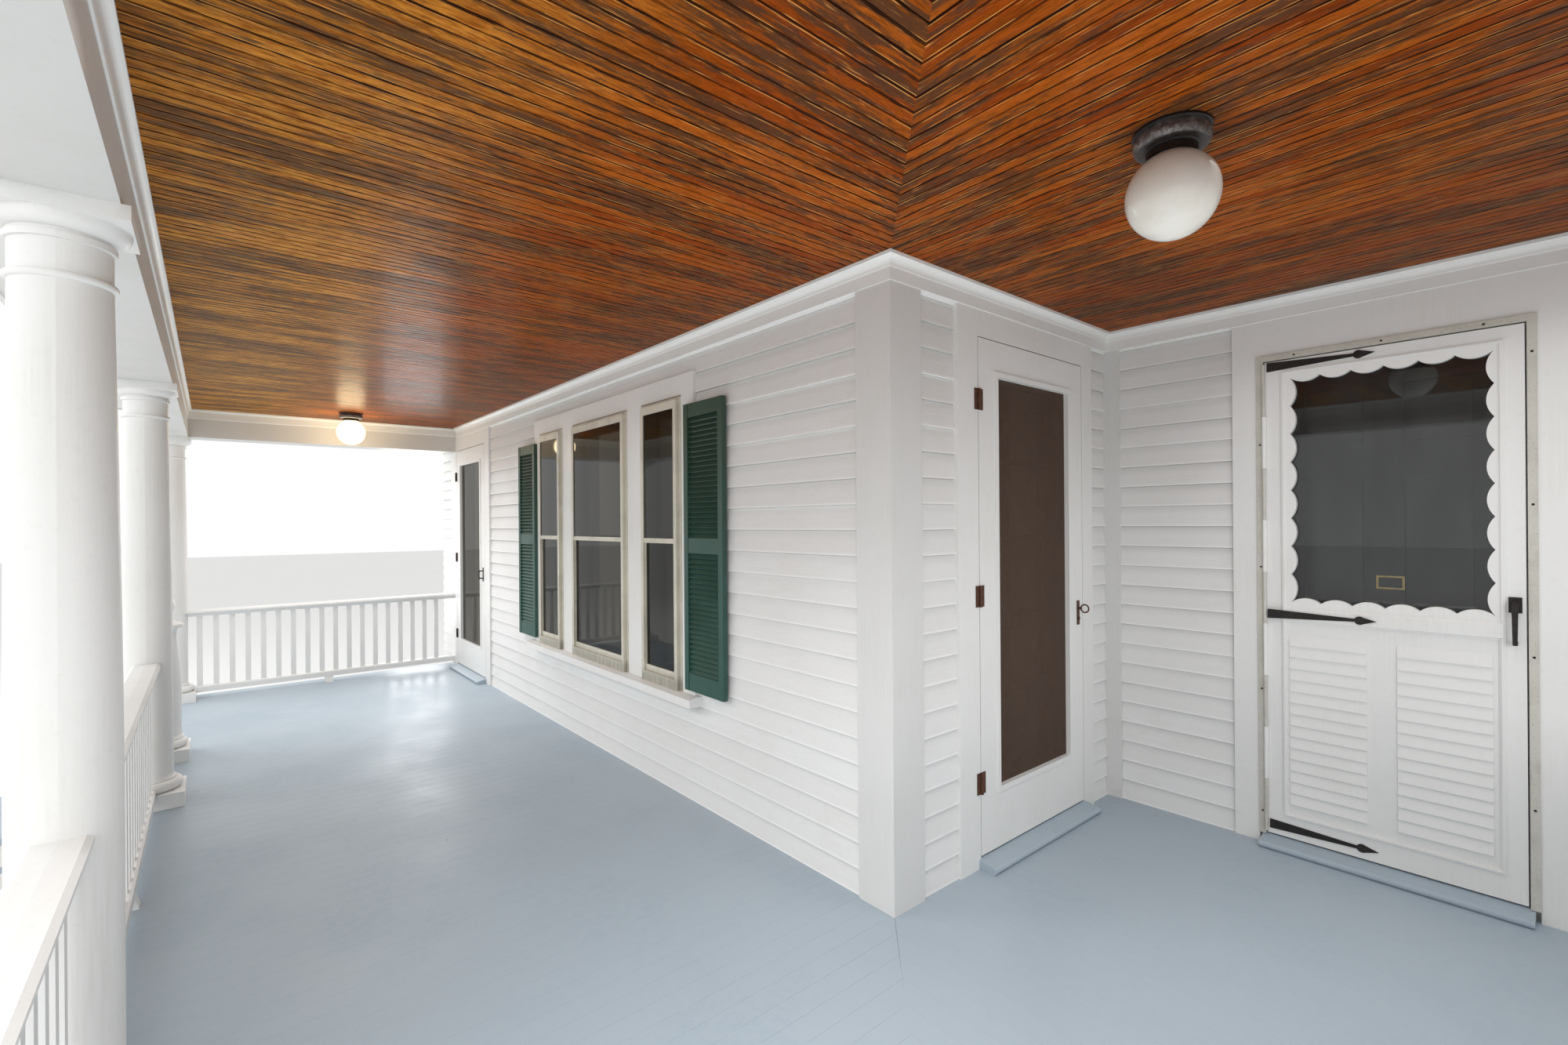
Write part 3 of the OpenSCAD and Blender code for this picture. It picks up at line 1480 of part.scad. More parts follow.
// Cast fitter: flange, rounded band, and a rim over the globe
module light_fitters() {
  r = fitter_d / 2;
  h = fitter_h;
  color("dimgray") for (p = LIGHT_SPOTS)
    translate([p[0], p[1], ceil_z]) rotate_extrude()
      polygon(concat(
        [[0, 0], [r, 0], [r, -6], [r - 3, -9], [r - 8, -10]],
        [for (k = [0:8]) [r - 7 + 4 * sin(k * 22.5), -12 - k * (h - 34) / 8]],
        [[r - 11, 20 - h], [rim_r + 3, 19 - h], [rim_r, 16 - h], [rim_r, -h], [0, -h]]
      ));
}

// Globes, cut flat where the fitter's rim holds them
module light_globes() {
  color("ivory") for (p = LIGHT_SPOTS)
    translate([p[0], p[1], ceil_z]) difference() {
      translate([0, 0, -globe_drop]) sphere(d = globe_d);
      translate([0, 0, -fitter_h - fit]) cylinder(h = globe_d, r = globe_d);
    }
}

porch_piers();
frame_front();
frame_side();
floor_front();
floor_side();
porch_skirts();
front_steps();
column_end();
column_second();
column_first();
column_corner();
column_side();
newel_post();
front_railing();
end_railing();
side_railing();
porch_beam();
ceiling_front();
ceiling_side();
ceiling_crown();
eave_cornice();
roof_front();
roof_side();
roof_end();
hip_caps();
house_foundation();
house_rim();
wall_a_left();
wall_a_head();
wall_a_main();
wall_b_near();
wall_b_head();
wall_b_far();
wall_c_near();
wall_c_head();
wall_c_far();
corner_boards();
window_frame();
storm_windows();
window_sashes();
window_glass();
window_shutters();
door_frames();
door_sills();
door_hinges();
storm_frame();
door_a();
door_a_glass();
door_a_hardware();
door_b();
door_b_screen();
door_b_hardware();
door_c();
door_c_glass();
door_c_hardware();
inner_door_b();
inner_glass_b();
inner_door_c();
light_fitters();
light_globes();
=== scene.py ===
# %% [markdown]
# # A front porch that wraps a house corner
#
# The porch is a floor, a row of round columns, a boarded ceiling and a low hipped roof, built against
# three clapboarded walls. Its carpentry comes ready made as a fixed frame of solids. This notebook
# gives each of them its finish, and adds what a carpenter, a roofer and a mason lay piece by piece.
#
# The frame comes first, because every board and brick below takes its place from it.

# %% Load the frame
import json
import math
from functools import partial

import bpy
from mathutils import Matrix, Vector


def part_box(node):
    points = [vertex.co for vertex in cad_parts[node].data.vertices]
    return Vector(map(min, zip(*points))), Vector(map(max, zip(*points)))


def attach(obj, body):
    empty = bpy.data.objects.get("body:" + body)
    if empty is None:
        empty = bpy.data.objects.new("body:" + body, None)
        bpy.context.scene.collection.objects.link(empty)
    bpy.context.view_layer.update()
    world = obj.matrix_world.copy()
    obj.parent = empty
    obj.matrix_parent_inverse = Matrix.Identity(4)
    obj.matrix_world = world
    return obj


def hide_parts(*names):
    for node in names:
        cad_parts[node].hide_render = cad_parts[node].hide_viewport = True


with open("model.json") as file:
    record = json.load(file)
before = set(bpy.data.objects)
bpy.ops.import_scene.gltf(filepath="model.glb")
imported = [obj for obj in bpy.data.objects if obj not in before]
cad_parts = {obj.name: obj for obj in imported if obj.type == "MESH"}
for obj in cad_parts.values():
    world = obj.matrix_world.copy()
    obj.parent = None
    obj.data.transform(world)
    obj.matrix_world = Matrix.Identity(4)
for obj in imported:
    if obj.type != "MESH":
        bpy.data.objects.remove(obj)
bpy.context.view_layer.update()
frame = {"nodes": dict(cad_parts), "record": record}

# %% [markdown]
# ## The viewpoint
#
# The view is a wide one, taken standing on the porch floor near its outer corner and looking back
# along the front. The lens and the place were worked out from the edges of the walls, the ceiling and
# the floor, which meet at right angles. A camera is aimed here by writing its three axes in a matrix:
# one to its right, one up, and one backwards, against the line of sight.

# %% Aim the camera
EYE = Vector((1.6592, -1.9034, 2.0910))
LENS_MM = 15.606
SENSOR_MM = 36.0
NEAREST = 0.02
YAW = math.radians(39.984)
PITCH = math.radians(0.018)
ROLL = math.radians(-0.426)

ahead = Vector((-math.cos(YAW) * math.cos(PITCH), math.sin(YAW) * math.cos(PITCH), math.sin(PITCH)))
level_right = Vector((math.sin(YAW), math.cos(YAW), 0.0))
level_up = level_right.cross(ahead)
right = level_right * math.cos(ROLL) + level_up * math.sin(ROLL)
up = right.cross(ahead)

camera_data = bpy.data.cameras.new("viewpoint")
camera_data.lens = LENS_MM
camera_data.sensor_width = SENSOR_MM
camera_data.clip_start = NEAREST
camera = bpy.data.objects.new("viewpoint", camera_data)
camera.matrix_world = Matrix.Translation(EYE) @ Matrix((right, up, -ahead)).transposed().to_4x4()
bpy.context.collection.objects.link(camera)
bpy.context.scene.camera = camera
bpy.context.scene.view_settings.view_transform = "Standard"
print("camera at", tuple(round(value, 3) for value in EYE), "lens", LENS_MM, "mm")

# %% [markdown]
# ## Helpers for node trees
#
# Materials and Geometry Nodes are both trees of nodes, and building them in a script takes the same
# three steps each time: add a node, choose its settings, and join its inputs. One helper does all
# three, on the tree that was opened last. Words with a capital are inputs, and each is joined to
# another node's output or given a plain value. Words without one are the node's settings.

# %% Helpers for node trees
class Bench:
    """What is being built: the tree opened last and, for a material, its shader."""
    tree = material = shader = None


def fill(sockets, values):
    """Joins each socket to the output given for it, or sets it to the plain value."""
    for key, value in values.items():
        if isinstance(value, bpy.types.NodeSocket):
            Bench.tree.links.new(value, sockets[key])
        else:
            sockets[key].default_value = value


def add(kind, numbered=None, **named):
    """Adds a node, makes its settings, and fills its inputs, which are named or numbered."""
    node = Bench.tree.nodes.new(kind)
    inputs = dict(numbered or {})
    for name, value in named.items():
        if name[0].isupper():
            inputs[name.replace("_", " ")] = value
        else:
            setattr(node, name, value)
    fill(node.inputs, inputs)
    return node


def maths(operation, *values):
    """One sum on numbers: FLOOR, FRACT, LESS_THAN and so on."""
    return add("ShaderNodeMath", dict(enumerate(values)), operation=operation).outputs[0]


plus, minus, times, over, larger, smaller = (
    partial(maths, operation)
    for operation in ("ADD", "SUBTRACT", "MULTIPLY", "DIVIDE", "MAXIMUM", "MINIMUM"))


def blend_of(*shares):
    """A weighted sum: each share is a value and its weight."""
    total = 0.0
    for value, weight in shares:
        total = maths("MULTIPLY_ADD", value, weight, total)
    return total


def between(value, low, high, to_low=0.0, to_high=1.0):
    """Maps a value from one range to another, smoothly, and holds it at both ends."""
    return add("ShaderNodeMapRange", Value=value, From_Min=low, From_Max=high, To_Min=to_low,
               To_Max=to_high, interpolation_type="SMOOTHSTEP").outputs[0]


def mixed(factor, first, second, blend_type="MIX"):
    """Mixes two colours, where factor 0 gives the first."""
    inputs = {0: factor, 6: first, 7: second}
    return add("ShaderNodeMix", inputs, data_type="RGBA", blend_type=blend_type).outputs[2]


def noise(vector, scale, detail=3.0, roughness=0.55):
    """A soft random pattern between 0 and 1."""
    return add("ShaderNodeTexNoise", Vector=vector, Scale=scale, Detail=detail,
               Roughness=roughness).outputs[0]


def stretched(vector, x, y, z):
    """The same place, with each direction scaled, so that a pattern is drawn out along one of them."""
    return add("ShaderNodeMapping", Vector=vector, Scale=(x, y, z)).outputs[0]


def drawn_noise(vector, x, y, z, detail=3.0, roughness=0.55):
    """A random pattern drawn out along the direction that is scaled least."""
    return noise(stretched(vector, x, y, z), 1.0, detail, roughness)


def bumped(height, distance, strength=1.0, **below):
    """Turns a height pattern into a normal, on top of the Normal below it if there is one."""
    return add("ShaderNodeBump", Height=height, Distance=distance, Strength=strength, **below).outputs[0]


def parts_of(vector):
    """The X, Y and Z of a vector."""
    return add("ShaderNodeSeparateXYZ", Vector=vector).outputs


def vector_of(**parts):
    """A vector from its X, Y and Z, which are 0 if left out."""
    return add("ShaderNodeCombineXYZ", **parts).outputs[0]


def random_for(number):
    """A random value between 0 and 1 for each whole number."""
    return add("ShaderNodeTexWhiteNoise", W=number, noise_dimensions="1D").outputs["Value"]


def attribute(name, part):
    """A value that the mesh itself carries."""
    return add("ShaderNodeAttribute", attribute_name=name).outputs[part]


def here():
    """The place of each point on the object, in metres."""
    return add("ShaderNodeTexCoord").outputs["Object"]


def rgb(red, green, blue):
    """A colour as nodes take it, with full opacity."""
    return (red, green, blue, 1.0)


def new_material(name, **constants):
    """Opens a material with one Principled shader. The constants are set on the shader's own inputs."""
    material = Bench.material = bpy.data.materials.new(name)
    material.use_nodes = True
    Bench.tree = material.node_tree
    Bench.tree.nodes.clear()
    Bench.shader = add("ShaderNodeBsdfPrincipled", **constants)
    add("ShaderNodeOutputMaterial", Surface=Bench.shader.outputs[0])
    return material


def dress(skin=None, **patterns):
    """Joins patterns to the shader, over those that a skin of paint or wear brings along."""
    values = {}
    for socket, output in (("Base Color", "Colour"), ("Roughness", "Roughness"), ("Normal", "Normal")):
        if skin is not None and output in skin:
            values[socket] = skin[output]
    for key, value in patterns.items():
        values[key.replace("_", " ")] = value
    fill(Bench.shader.inputs, values)
    return Bench.material


def shader_group(name, outputs, **inputs):
    """Opens a group of shader nodes. An input's first value tells its kind."""
    tree = Bench.tree = bpy.data.node_groups.new(name, "ShaderNodeTree")
    for label, value in inputs.items():
        kind = "Float" if isinstance(value, float) else {3: "Vector", 4: "Color"}[len(value)]
        socket = tree.interface.new_socket(
            label.replace("_", " "), in_out="INPUT", socket_type="NodeSocket" + kind)
        socket.default_value = value
    for label, kind in outputs.items():
        tree.interface.new_socket(label, in_out="OUTPUT", socket_type="NodeSocket" + kind)
    return tree, add("NodeGroupInput").outputs, add("NodeGroupOutput").inputs


def use(group, **inputs):
    """Places a group in a material, and gives its outputs."""
    return add("ShaderNodeGroup", node_tree=group, **inputs).outputs


print("helpers ready")

# %% [markdown]
# ## Ground, sky and lamps
#
# The porch is shown on a plain pale floor under an even white sky. The sky has two strengths: one that
# the camera, reflections and glass see, where 1 is white, and a lower one that lights the object. The
# Light Path node tells them apart. A roof keeps most of the sky off a porch, so soft lamps inside it
# stand in for the light that the ground round it throws back up.

# %% Lay the ground and the sky
SKY_LIGHT = 0.95
WHITE_LIGHT = (1.0, 1.0, 1.0)

ground_mesh = bpy.data.meshes.new("ground")
REACH = 60.0
CORNERS = [(-REACH, -REACH, 0), (REACH, -REACH, 0), (REACH, REACH, 0), (-REACH, REACH, 0)]
ground_mesh.from_pydata(CORNERS, [], [(0, 1, 2, 3)])
ground = bpy.data.objects.new("ground", ground_mesh)
bpy.context.collection.objects.link(ground)
pale = new_material("pale ground", Base_Color=rgb(0.80, 0.80, 0.79), Roughness=0.9)
ground_mesh.materials.append(pale)

world = bpy.data.worlds.new("even sky")
world.use_nodes = True
Bench.tree = world.node_tree
Bench.tree.nodes.clear()
ray = add("ShaderNodeLightPath").outputs
seen = larger(ray["Is Camera Ray"], larger(ray["Is Glossy Ray"], ray["Is Transmission Ray"]))
strength = plus(times(seen, 1.0 - SKY_LIGHT), SKY_LIGHT)
backdrop = add("ShaderNodeBackground", Color=rgb(*WHITE_LIGHT), Strength=strength)
add("ShaderNodeOutputWorld", Surface=backdrop.outputs[0])
bpy.context.scene.world = world


def soft_lamp(name, place, aim, width, depth, power, spread=180, colour=WHITE_LIGHT):
    """A wide lamp that lights its surroundings but isn't seen itself, also not in a reflection."""
    data = bpy.data.lights.new(name, "AREA")
    data.shape = "RECTANGLE"
    data.size = width
    data.size_y = depth
    data.energy = power
    data.spread = math.radians(spread)
    data.color = colour
    lamp = bpy.data.objects.new(name, data)
    lamp.location = place
    lamp.rotation_euler = (Vector(aim) - Vector(place)).to_track_quat("-Z", "Y").to_euler()
    lamp.visible_camera = False
    lamp.visible_glossy = False
    lamp.visible_transmission = False
    bpy.context.collection.objects.link(lamp)
    return lamp


ceiling_low, ceiling_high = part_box("ceiling_front")
CEILING_Z = ceiling_low[2]
FLOOR_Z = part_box("floor_front")[1][2]
LAMP_GAP = 0.12
MIDDLE_Y = ceiling_low[1] / 2
GLOBE_PLACES = [(0.986, -0.067), (-5.235, -0.992)]
GLOBE_LAMP_Z = 2.70
FAR_BELOW, FAR_ABOVE = 0, 9
DOWN = (CEILING_Z - LAMP_GAP, FAR_BELOW, 120)
UP = (FLOOR_Z + LAMP_GAP, FAR_ABOVE, 110)
for name, (lamp_z, aim_z, spread), x, y, width, depth, power in (
    ("down on the far floor", DOWN, -4.6, MIDDLE_Y, 2.0, 1.4, 16),
    ("down on the middle floor", DOWN, -1.8, -1.4, 3.0, 1.0, 3),
    ("down on the corner floor", DOWN, 1.0, -1.4, 1.8, 1.2, 21),
    ("down on the side floor", DOWN, 1.2, 0.7, 1.2, 1.6, 7),
    ("up to the front ceiling", UP, -2.2, MIDDLE_Y, 6.4, 1.4, 18),
    ("up to the side ceiling", UP, 1.0, 0.0, 1.4, 2.6, 9),
):
    soft_lamp(name, (x, y, lamp_z), (x, y, aim_z), width, depth, power, spread)
for name, place, aim, width, depth, power in (
    ("high on the left", (-9.0, -9.0, 7.0), (-2.0, -1.0, 1.5), 5.0, 5.0, 420),
    ("high in front", (-2.0, -12.0, 8.0), (-2.0, 0.0, 1.0), 6.0, 3.0, 160),
    ("high on the right", (8.0, -8.0, 5.0), (0.8, 0.6, 1.3), 5.0, 4.0, 200),
    ("low on the right", (7.0, -8.0, 2.6), (1.0, 1.6, 1.2), 4.0, 2.5, 130),
):
    soft_lamp(name, place, aim, width, depth, power)
END_STRIP = soft_lamp("bright strip past the end", (-7.3, -0.08, 1.9), (0.0, -0.5, 2.3), 0.6, 2.0, 13)
END_STRIP.visible_glossy = True
soft_lamp("glow by the far globe", (*GLOBE_PLACES[1], GLOBE_LAMP_Z), (*GLOBE_PLACES[1], FAR_ABOVE),
          0.3, 0.3, 3, colour=(1.0, 0.72, 0.36))

# %% [markdown]
# ## Paint on wood
#
# Most of the porch is painted: white on the walls and trim, blue-grey on the floor. Real paint is never one
# flat colour. It has thin places and slightly yellower ones, fine ridges that a brush leaves along each
# board, and specks of dust. All painted parts share these, so they are built once as a group of nodes, and
# each paint gives the group its own colours and its own brush direction.

# %% Build the paint group
def build_paint_film():
    tree, given, result = shader_group(
        "paint film", {"Colour": "Color", "Roughness": "Float", "Normal": "Vector"},
        Paint=rgb(0.8, 0.8, 0.8), Thin_paint=rgb(0.7, 0.7, 0.7), Dust=rgb(0.5, 0.48, 0.45),
        Brushed_place=(0.0, 0.0, 0.0), Gloss=0.4, Ridge_depth=0.0004, Dust_amount=0.15)
    place = here()
    patches = noise(place, 2.3, 4.0)
    mottle = noise(place, 38.0)
    brushed = noise(given["Brushed place"], 1.0, 4.0, 0.6)
    thin = times(between(patches, 0.42, 0.68), between(brushed, 0.3, 0.75))
    colour = mixed(thin, given["Paint"], given["Thin paint"])
    dusty = times(between(mottle, 0.55, 0.8), given["Dust amount"])
    sheen = between(patches, 0.3, 0.7, -0.05, 0.08)
    fine = times(minus(mottle, 0.5), 0.12)
    ridges = bumped(brushed, given["Ridge depth"], 0.7)
    orange_peel = times(given["Ridge depth"], 0.3)
    fill(result, {
        "Colour": mixed(dusty, colour, given["Dust"]),
        "Roughness": plus(given["Gloss"], plus(sheen, fine)),
        "Normal": bumped(noise(place, 190.0, 2.0), orange_peel, 0.5, Normal=ridges),
    })
    return tree


PAINT_FILM = build_paint_film()


def film_of(paint, thin, dust, strokes, gloss, ridge_depth, dust_amount):
    """A film of paint in the material that was opened last, brushed along one direction."""
    return use(PAINT_FILM, Paint=paint, Thin_paint=thin, Dust=dust, Gloss=gloss, Ridge_depth=ridge_depth,
               Dust_amount=dust_amount, Brushed_place=stretched(here(), *strokes))


print("paint film:", len(PAINT_FILM.nodes), "nodes")

# %% [markdown]
# White trim was brushed along its length. Columns and casings stand upright, while rails lie flat, so there
# is one white with its brush marks drawn out upwards and one with them drawn out level: a pattern that
# changes slowly in one direction and fast in the others looks like strokes. Beams have an older, duller
# white, brushed level. The corner boards have a duller white too, brushed upright, and darker, which is
# painted shade.

# %% Mix the white paints
UPRIGHT_STROKES = (130.0, 130.0, 5.0)
LEVEL_STROKES = (6.0, 6.0, 150.0)
WHITE = (0.80, 0.803, 0.79)
THIN_WHITE = (0.75, 0.748, 0.72)
PORCH_DUST = rgb(0.50, 0.48, 0.44)
TRIM_RIDGES = 0.0005


def white_paint(name, strokes, gloss=0.38, dust=0.10, tone=1.0):
    """White trim paint, at its full brightness or a share of it."""
    new_material(name)
    paint, thin = (rgb(*(part * tone for part in colour)) for colour in (WHITE, THIN_WHITE))
    return dress(film_of(paint, thin, PORCH_DUST, strokes, gloss, TRIM_RIDGES, dust))


OLDER = dict(gloss=0.42, dust=0.14)
upright_white = white_paint("white trim brushed upright", UPRIGHT_STROKES)
level_white = white_paint("white trim brushed level", LEVEL_STROKES)
beam_white = white_paint("older white on the beams", LEVEL_STROKES, tone=0.82, **OLDER)
# The corner boards' white is darkened to 86% as painted shade.
corner_white_shaded = white_paint("older white on the corner boards", UPRIGHT_STROKES, tone=0.86, **OLDER)
for paint in (upright_white, level_white, beam_white, corner_white_shaded):
    print("mixed:", paint.name)

# %% [markdown]
# The clapboards take a flatter paint. Each board is a plank of its own, with its own saw marks and a
# slightly different tone. Each board also gets painted shade up under the board above, with a darker
# painted shadow line right under that board's butt, and a painted highlight as a lighter rim at its own
# foot; the painted shade fades lower down the wall. The height of a point above the floor tells which board
# it is on, because the boards are all as high as each other. A White Noise node gives every whole number a
# random value, for the tones.

# %% Paint the clapboards
BOARD_HEIGHT = 0.100
LINE_FOOT, LINE_WAVER, SHADOW_LINE_DARK = 0.985, 0.035, 0.38
RIM_HIGHLIGHT = 0.9


def clapboard_paint():
    new_material("white clapboard paint")
    place = here()
    height = parts_of(place)["Z"]
    course = over(minus(height, FLOOR_Z), BOARD_HEIGHT)
    up_board = maths("FRACT", course)
    tone = random_for(maths("FLOOR", course))
    own_white = mixed(tone, rgb(0.80, 0.805, 0.80), rgb(0.775, 0.776, 0.766))
    film = film_of(own_white, rgb(0.74, 0.735, 0.71), PORCH_DUST, LEVEL_STROKES,
                   gloss=0.5, ridge_depth=0.0009, dust_amount=0.12)
    # Painted shade: each board is darker up under the board above, with a dark painted shadow line under
    # that board's butt, both weaker lower down the wall.
    shade_by_height = between(height, 1.0, 2.5, 0.35, 1.0)
    wavy = drawn_noise(place, 5.0, 5.0, 0.0)
    to_line = minus(up_board, minus(LINE_FOOT, times(wavy, LINE_WAVER)))
    shadow_line = times(between(to_line, -0.012, 0.004), SHADOW_LINE_DARK)
    shade = times(between(up_board, 0.50, 1.0, 0.0, 0.36), shade_by_height)
    colour = mixed(shade, film["Colour"], rgb(0.50, 0.49, 0.47))
    colour = mixed(times(shadow_line, shade_by_height), colour, rgb(0.20, 0.19, 0.175))
    # Painted highlight: a lighter rim at each board's own foot.
    rim = between(up_board, 0.03, 0.10, 1.0, 0.0)
    colour = mixed(times(rim, RIM_HIGHLIGHT), colour, rgb(0.90, 0.90, 0.89))
    return dress(film, Base_Color=colour)


white_clapboards = clapboard_paint()
print("clapboard courses of", BOARD_HEIGHT, "m")

# %% [markdown]
# The floor is tongue-and-groove boarding under many coats of blue-grey deck paint, which nearly close
# its joints. It is satin rather than glossy, worn a little duller where people walk, and has a few
# dark flecks. Near the house corner the mitre has opened to a fine dark crack. Door sills have the
# same paint.

# %% Paint the floor
DECK_BLUE = rgb(0.385, 0.460, 0.522)
EVERY_WAY = (30.0, 30.0, 30.0)
FLECK_DARK = 0.6


def floor_paint():
    new_material("blue grey deck paint")
    place = here()
    film = film_of(DECK_BLUE, rgb(0.358, 0.434, 0.500), rgb(0.46, 0.50, 0.54), EVERY_WAY,
                   gloss=0.36, ridge_depth=0.0004, dust_amount=0.22)
    flecks = add("ShaderNodeTexVoronoi", Vector=place, Scale=2.1).outputs["Distance"]
    fleck = between(flecks, 0.008, 0.014, 1.0, 0.0)
    colour = mixed(times(fleck, FLECK_DARK), film["Colour"], rgb(0.06, 0.05, 0.045))
    parts = parts_of(place)
    off_mitre = maths("ABSOLUTE", plus(parts["X"], parts["Y"]))
    on_mitre = between(off_mitre, 0.0006, 0.0022, 1.0, 0.0)
    at_corner = between(parts["X"], 0.10, 0.34, 0.7, 0.0)
    colour = mixed(times(on_mitre, at_corner), colour, rgb(0.10, 0.11, 0.12))
    walked = between(noise(place, 0.8), 0.4, 0.7, 0.0, 0.10)
    return dress(film, Base_Color=colour, Roughness=plus(film["Roughness"], walked))


deck_paint = floor_paint()
print("floor paint ready")

# %% [markdown]
# The steps have deck paint on their treads and white on the boards between. One material can hold both:
# a tread is as thick on every step, so the height of a point within its step tells which it is on.

# %% Paint the steps
STEPS = 4
RISE = FLOOR_Z / STEPS
TREAD = 0.038
TREAD_FOOT = 1.0 - TREAD / RISE
SOFT = 0.004


def step_paint():
    new_material("deck paint and white on the steps")
    up_step = maths("FRACT", over(parts_of(here())["Z"], RISE))
    tread = larger(between(up_step, TREAD_FOOT - SOFT, TREAD_FOOT), between(up_step, 0.0, SOFT, 1.0, 0.0))
    paint = mixed(tread, rgb(*WHITE), DECK_BLUE)
    thin = mixed(tread, rgb(*THIN_WHITE), rgb(0.30, 0.36, 0.41))
    return dress(film_of(paint, thin, PORCH_DUST, LEVEL_STROKES, gloss=0.42, ridge_depth=TRIM_RIDGES,
                         dust_amount=0.3))


painted_steps = step_paint()
print("steps rise", round(RISE, 3), "m each")

# %% [markdown]
# ## Stained wood
#
# The ceiling is the showpiece: beaded boards under an orange-brown stain and old varnish. Each board
# took the stain differently. Dark drawn-out stains run along the grain and gather at the joints, thin
# yellow scratches cross them, and the varnish has long ripples that break up reflections.
#
# The pattern follows the boards, not the room, so the boards carry two attributes that the material
# reads: where a point is across and along its own board, and a random tone for the board.

# %% Build the stain group
BOARDS_APART = 40.0
DARK_AT, DARK_BY_SHARE, DARKEST = 0.62, 0.22, 0.86
SCRATCH_SHARE = 0.55


def build_stain():
    tree, given, result = shader_group(
        "stained grain", {"Colour": "Color", "Roughness": "Float", "Varnish": "Float", "Height": "Float"},
        Pale_stain=rgb(0.4, 0.2, 0.05), Red_stain=rgb(0.3, 0.1, 0.03), Bleached_stain=rgb(0.4, 0.2, 0.05),
        Dark_stain=rgb(0.05, 0.03, 0.02), Scratch=rgb(0.5, 0.3, 0.1), Board_place=(0.0, 0.0, 0.0),
        Board_tone=0.5, Bleach=0.0, Dark_share=0.5)
    whole = given["Board place"]
    own = times(given["Board tone"], BOARDS_APART)
    place = add("ShaderNodeVectorMath", {0: whole, 1: vector_of(Y=own, Z=own)}, operation="ADD").outputs[0]
    fibres = drawn_noise(place, 480.0, 26.0, 1.0, 3.0, 0.6)
    flames = drawn_noise(place, 90.0, 15.0, 1.0, 5.0, 0.70)
    streaks = drawn_noise(place, 38.0, 2.4, 1.0, 5.0, 0.66)
    patches = drawn_noise(whole, 8.0, 1.5, 1.0, 5.0, 0.60)
    scratches = drawn_noise(place, 210.0, 9.0, 1.0, 4.0, 0.70)

    warm = blend_of((given["Board tone"], 0.40), (flames, 0.60))
    colour = mixed(between(warm, 0.28, 0.74), given["Pale stain"], given["Red stain"])
    # Painted light: where light is painted in, a paler lit colour is mixed over the stain.
    lit_part = times(given["Bleach"], between(flames, 0.36, 0.60, 0.35, 1.0))
    colour = mixed(lit_part, colour, given["Bleached stain"])
    grain = between(blend_of((flames, 0.55), (fibres, 0.45)), 0.38, 0.60, 0.46, 1.12)
    grey_grain = add("ShaderNodeCombineColor", {0: grain, 1: grain, 2: grain}).outputs[0]
    colour = mixed(1.0, colour, grey_grain, "MULTIPLY")

    stained = blend_of((streaks, 0.34), (patches, 0.36), (flames, 0.30))
    edge_of_dark = minus(DARK_AT, times(given["Dark share"], DARK_BY_SHARE))
    dark = between(minus(stained, edge_of_dark), -0.02, 0.04)
    colour = mixed(times(dark, DARKEST), colour, given["Dark stain"])
    scratched = between(blend_of((scratches, 1.0), (streaks, 0.35)), 0.78, 0.88)
    ripples = drawn_noise(place, 46.0, 5.5, 1.0, 3.0, 0.6)
    fill(result, {
        "Colour": mixed(times(scratched, SCRATCH_SHARE), colour, given["Scratch"]),
        "Roughness": plus(0.20, times(streaks, 0.22)),
        "Varnish": between(blend_of((flames, 0.5), (streaks, 0.5)), 0.46, 0.58),
        "Height": blend_of((ripples, 0.80), (flames, 0.20)),
    })
    return tree


STAIN = build_stain()
print("stain group:", len(STAIN.nodes), "nodes")

# %% [markdown]
# On the ceiling the stain gets its own colours, and far along the front near its outer edge a paler, more
# golden colour is mixed in as painted light. Each narrow strip between two joints has a tone of its own.
# Dirt fills the joints to a ragged width, and beside a joint a light line is painted here and there as a
# highlight on the raised edge.

# %% Stain and varnish the ceiling
BEAD_PITCH = 0.041
STRONGEST_VARNISH = 0.10
JOINT_DARK = rgb(0.026, 0.009, 0.004)
EDGE_HIGHLIGHT = rgb(0.74, 0.36, 0.10)
EDGE_LINE = 0.0052
RIPPLE_DEPTH = 0.0040


